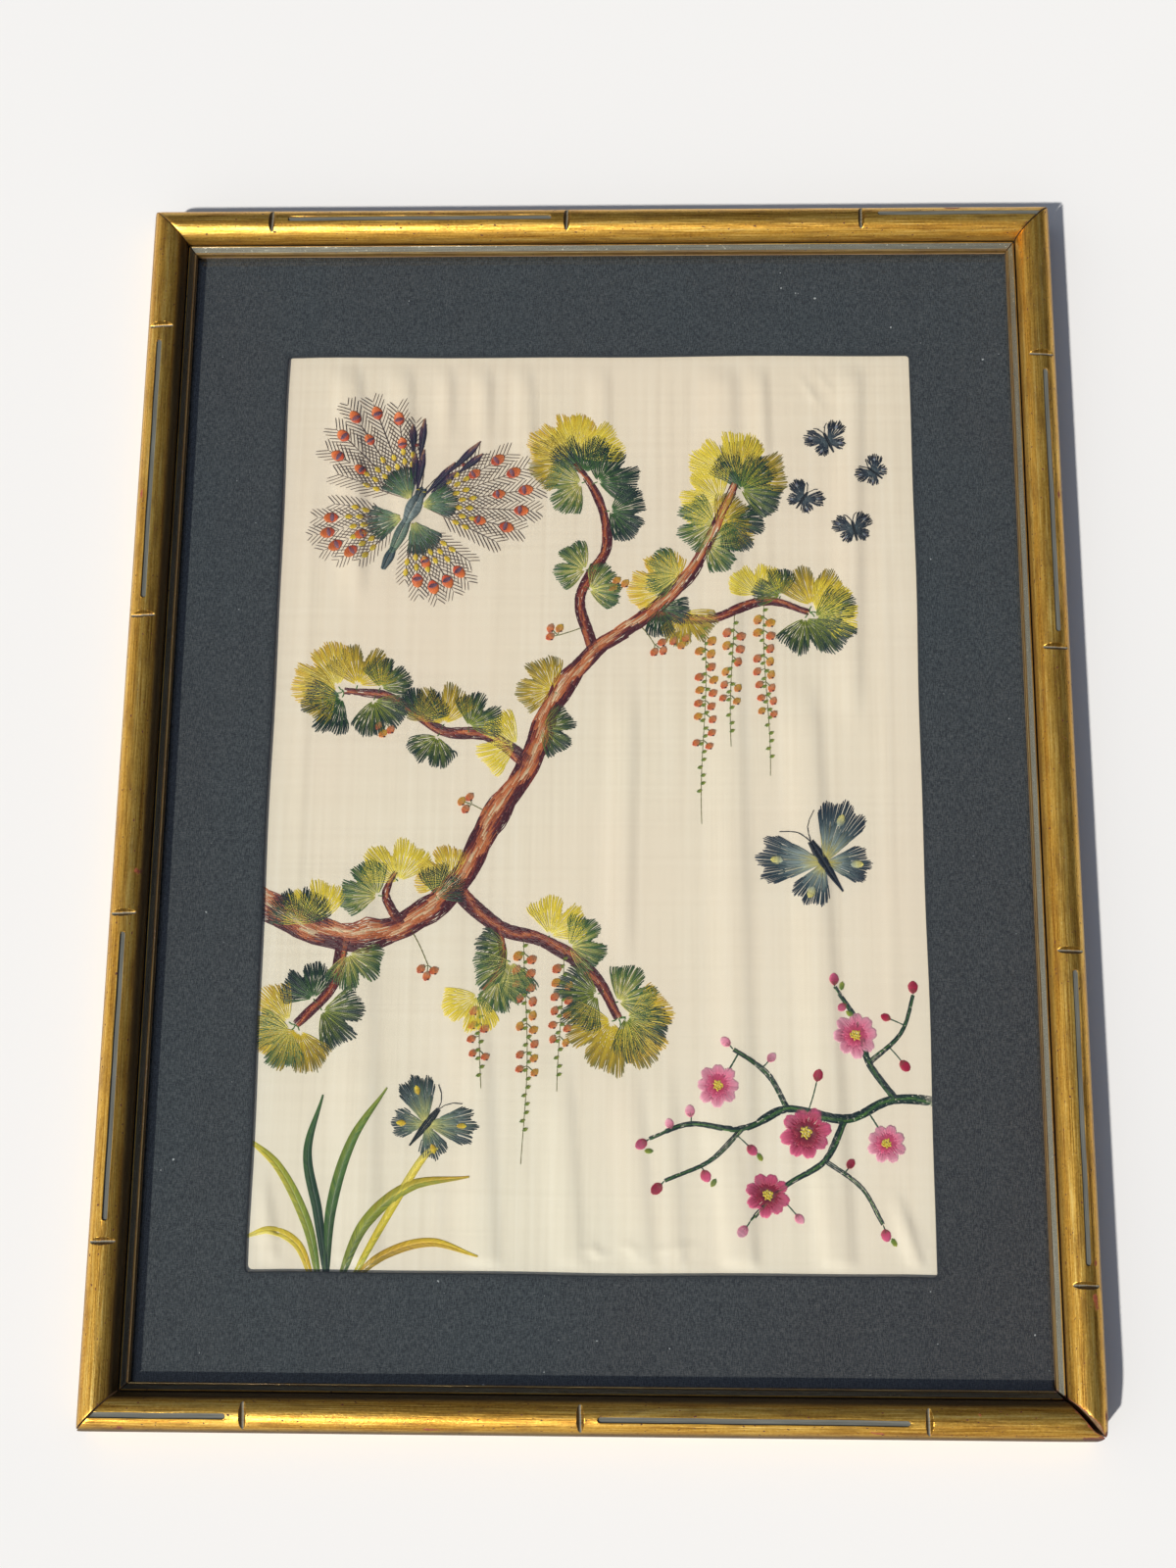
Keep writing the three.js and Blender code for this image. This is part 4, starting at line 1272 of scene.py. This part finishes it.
def draw_strings(threads):
    for x, y, length in STRINGS:
        hanging_string(threads, x, y, length)
    for x, y, turn in BERRY_CLUSTERS:
        foot = np.array([x, y])
        stalk(threads, [BOUGH] + BRANCHES, foot, 0.6, "olive", 0.5)
        for offset, reach in ((-52, 3.2), (4, 4.4), (58, 3.2)):
            spot = foot + heading(turn + offset) * reach
            threads.stitch(foot, spot, ["olive", "moss"], width=0.4, height=0.32, layer=0.8)
            berry(threads, spot, 1.9, 1.6)


# Grass blades as rows of (x, y, width) with their colours
BLADES = [
    ([(-104, -200, 2), (-110, -176, 4.2), (-122, -154, 3.4), (-137, -141, 0.8)],
     ["moss", "lime", "yellow"]),
    ([(-102, -200, 2), (-101, -170, 4.4), (-94, -144, 3.6), (-81, -123, 0.5)],
     ["deep_green", "moss", "lime"]),
    ([(-98, -200, 2.4), (-88, -176, 4.8), (-71, -161, 4), (-48, -157, 0.5)], ["green", "lime", "gold"]),
    ([(-106, -200, 2), (-113, -184, 3.6), (-124, -178, 2.8), (-136, -181, 0.6)],
     ["gold", "yellow", "straw"]),
    ([(-96, -200, 2), (-80, -187, 3.8), (-62, -182, 3.2), (-44, -187, 0.5)], ["olive", "gold", "yellow"]),
    ([(-101, -200, 2), (-106, -172, 3.8), (-111, -148, 3.2), (-106, -126, 0.5)],
     ["deep_green", "green", "moss"]),
    ([(-94, -200, 2), (-78, -170, 3.2), (-66, -150, 2.8), (-60, -146, 0.5)], ["lime", "yellow", "straw"]),
]


def draw_blades(threads):
    for number, (points, colours) in enumerate(BLADES):
        satin_leaf(threads, points, colours, 0.4 + 0.5 * (number % 3), 1.6)


PICTURE = {
    "thread_boughs": draw_boughs, "thread_fans": draw_fans,
    "thread_large_butterfly": draw_large_butterfly,
    "thread_small_butterflies": draw_small_butterflies, "thread_blossoms": draw_blossoms,
    "thread_strings": draw_strings, "thread_blades": draw_blades,
}


def embroider(name, draw, material):
    """One piece of all the stitches that a drawing function lays."""
    threads = Threads()
    draw(threads)
    return threads.make(name, material)


# Camera, floor and light

CAMERA_PLACE = (21.9, -213.1, 836.7)
CAMERA_TURN = (14.41, 1.58, 0.51)
CAMERA_LENS = 48.6
SUN_FROM = (-0.58, -0.68, 1.0)
SUN_STRENGTH = 3.35
SUN_WIDTH = 2.5
SUN_COLOUR = (1.0, 0.965, 0.90)
BRIGHT_SIDE = (-0.80, -0.56, 0.2)
FLOOR_HALF, FLOOR_LEVEL = 3000, -0.02


def make_camera():
    data = bpy.data.cameras.new("camera")
    data.lens = CAMERA_LENS
    data.sensor_width = 36
    data.clip_start = 0.01
    camera = bpy.data.objects.new("camera", data)
    camera.location = Vector(CAMERA_PLACE) * MM
    camera.rotation_euler = [math.radians(angle) for angle in CAMERA_TURN]
    bpy.context.scene.collection.objects.link(camera)
    bpy.context.scene.camera = camera


def make_floor():
    corners = [(x * FLOOR_HALF, y * FLOOR_HALF, FLOOR_LEVEL)
               for x, y in ((-1, -1), (1, -1), (1, 1), (-1, 1))]
    floor = make_piece("floor", corners, [(0, 1, 2, 3)], floor_material(), smooth=False)


def make_light():
    """A warm low sun and a soft room that is brighter on one side and cool overhead."""
    data = bpy.data.lights.new("key", "SUN")
    data.energy = SUN_STRENGTH
    data.angle = math.radians(SUN_WIDTH)
    data.color = SUN_COLOUR
    key = bpy.data.objects.new("key", data)
    key.rotation_euler = Vector(SUN_FROM).to_track_quat("Z", "Y").to_euler()
    bpy.context.scene.collection.objects.link(key)
    bpy.context.scene.world = bpy.data.worlds.new("studio")
    room = Nodes(bpy.context.scene.world)
    room.tree.nodes.clear()
    direction = room.put("TexCoord", {}, "Generated")
    side = room.spread(room.vector_math("DOT_PRODUCT", direction, BRIGHT_SIDE), -1.0, 1.0)
    height = room.put("SeparateXYZ", {"Vector": direction}, "Z")
    overhead = room.ramp(side, (0.0, 0.10, 0.13, 0.20), (0.55, 0.145, 0.18, 0.258), (1.0, 0.26, 0.29, 0.34))
    level = room.ramp(side, (0.0, 0.010, 0.010, 0.010), (0.42, 0.045, 0.045, 0.047),
                      (0.70, 0.27, 0.26, 0.25), (1.0, 0.90, 0.86, 0.78))
    colour = room.blend(room.spread(height, 0.45, 0.82), level, overhead)
    background = room.put("Background", {"Color": colour, "Strength": 1.0})
    room.put("OutputWorld", {"Surface": background})


def dress(node, material):
    """Gives a node of the frame its material."""
    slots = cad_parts[node].data.materials
    slots.clear()
    slots.append(material)


bpy.context.scene.view_settings.view_transform = "Standard"
bpy.context.scene.view_settings.look = "None"
make_camera()
make_floor()
make_light()

gilt = gilt_material()
for rail_name in RAILS:
    make_rail(rail_name, gilt)
silk_piece = make_silk()
make_mat()
floss = thread_material()
thread_pieces = [embroider(name, draw, floss) for name, draw in PICTURE.items()]
dress("glass_pane", glass_material())
dress("backing_board", board_material())
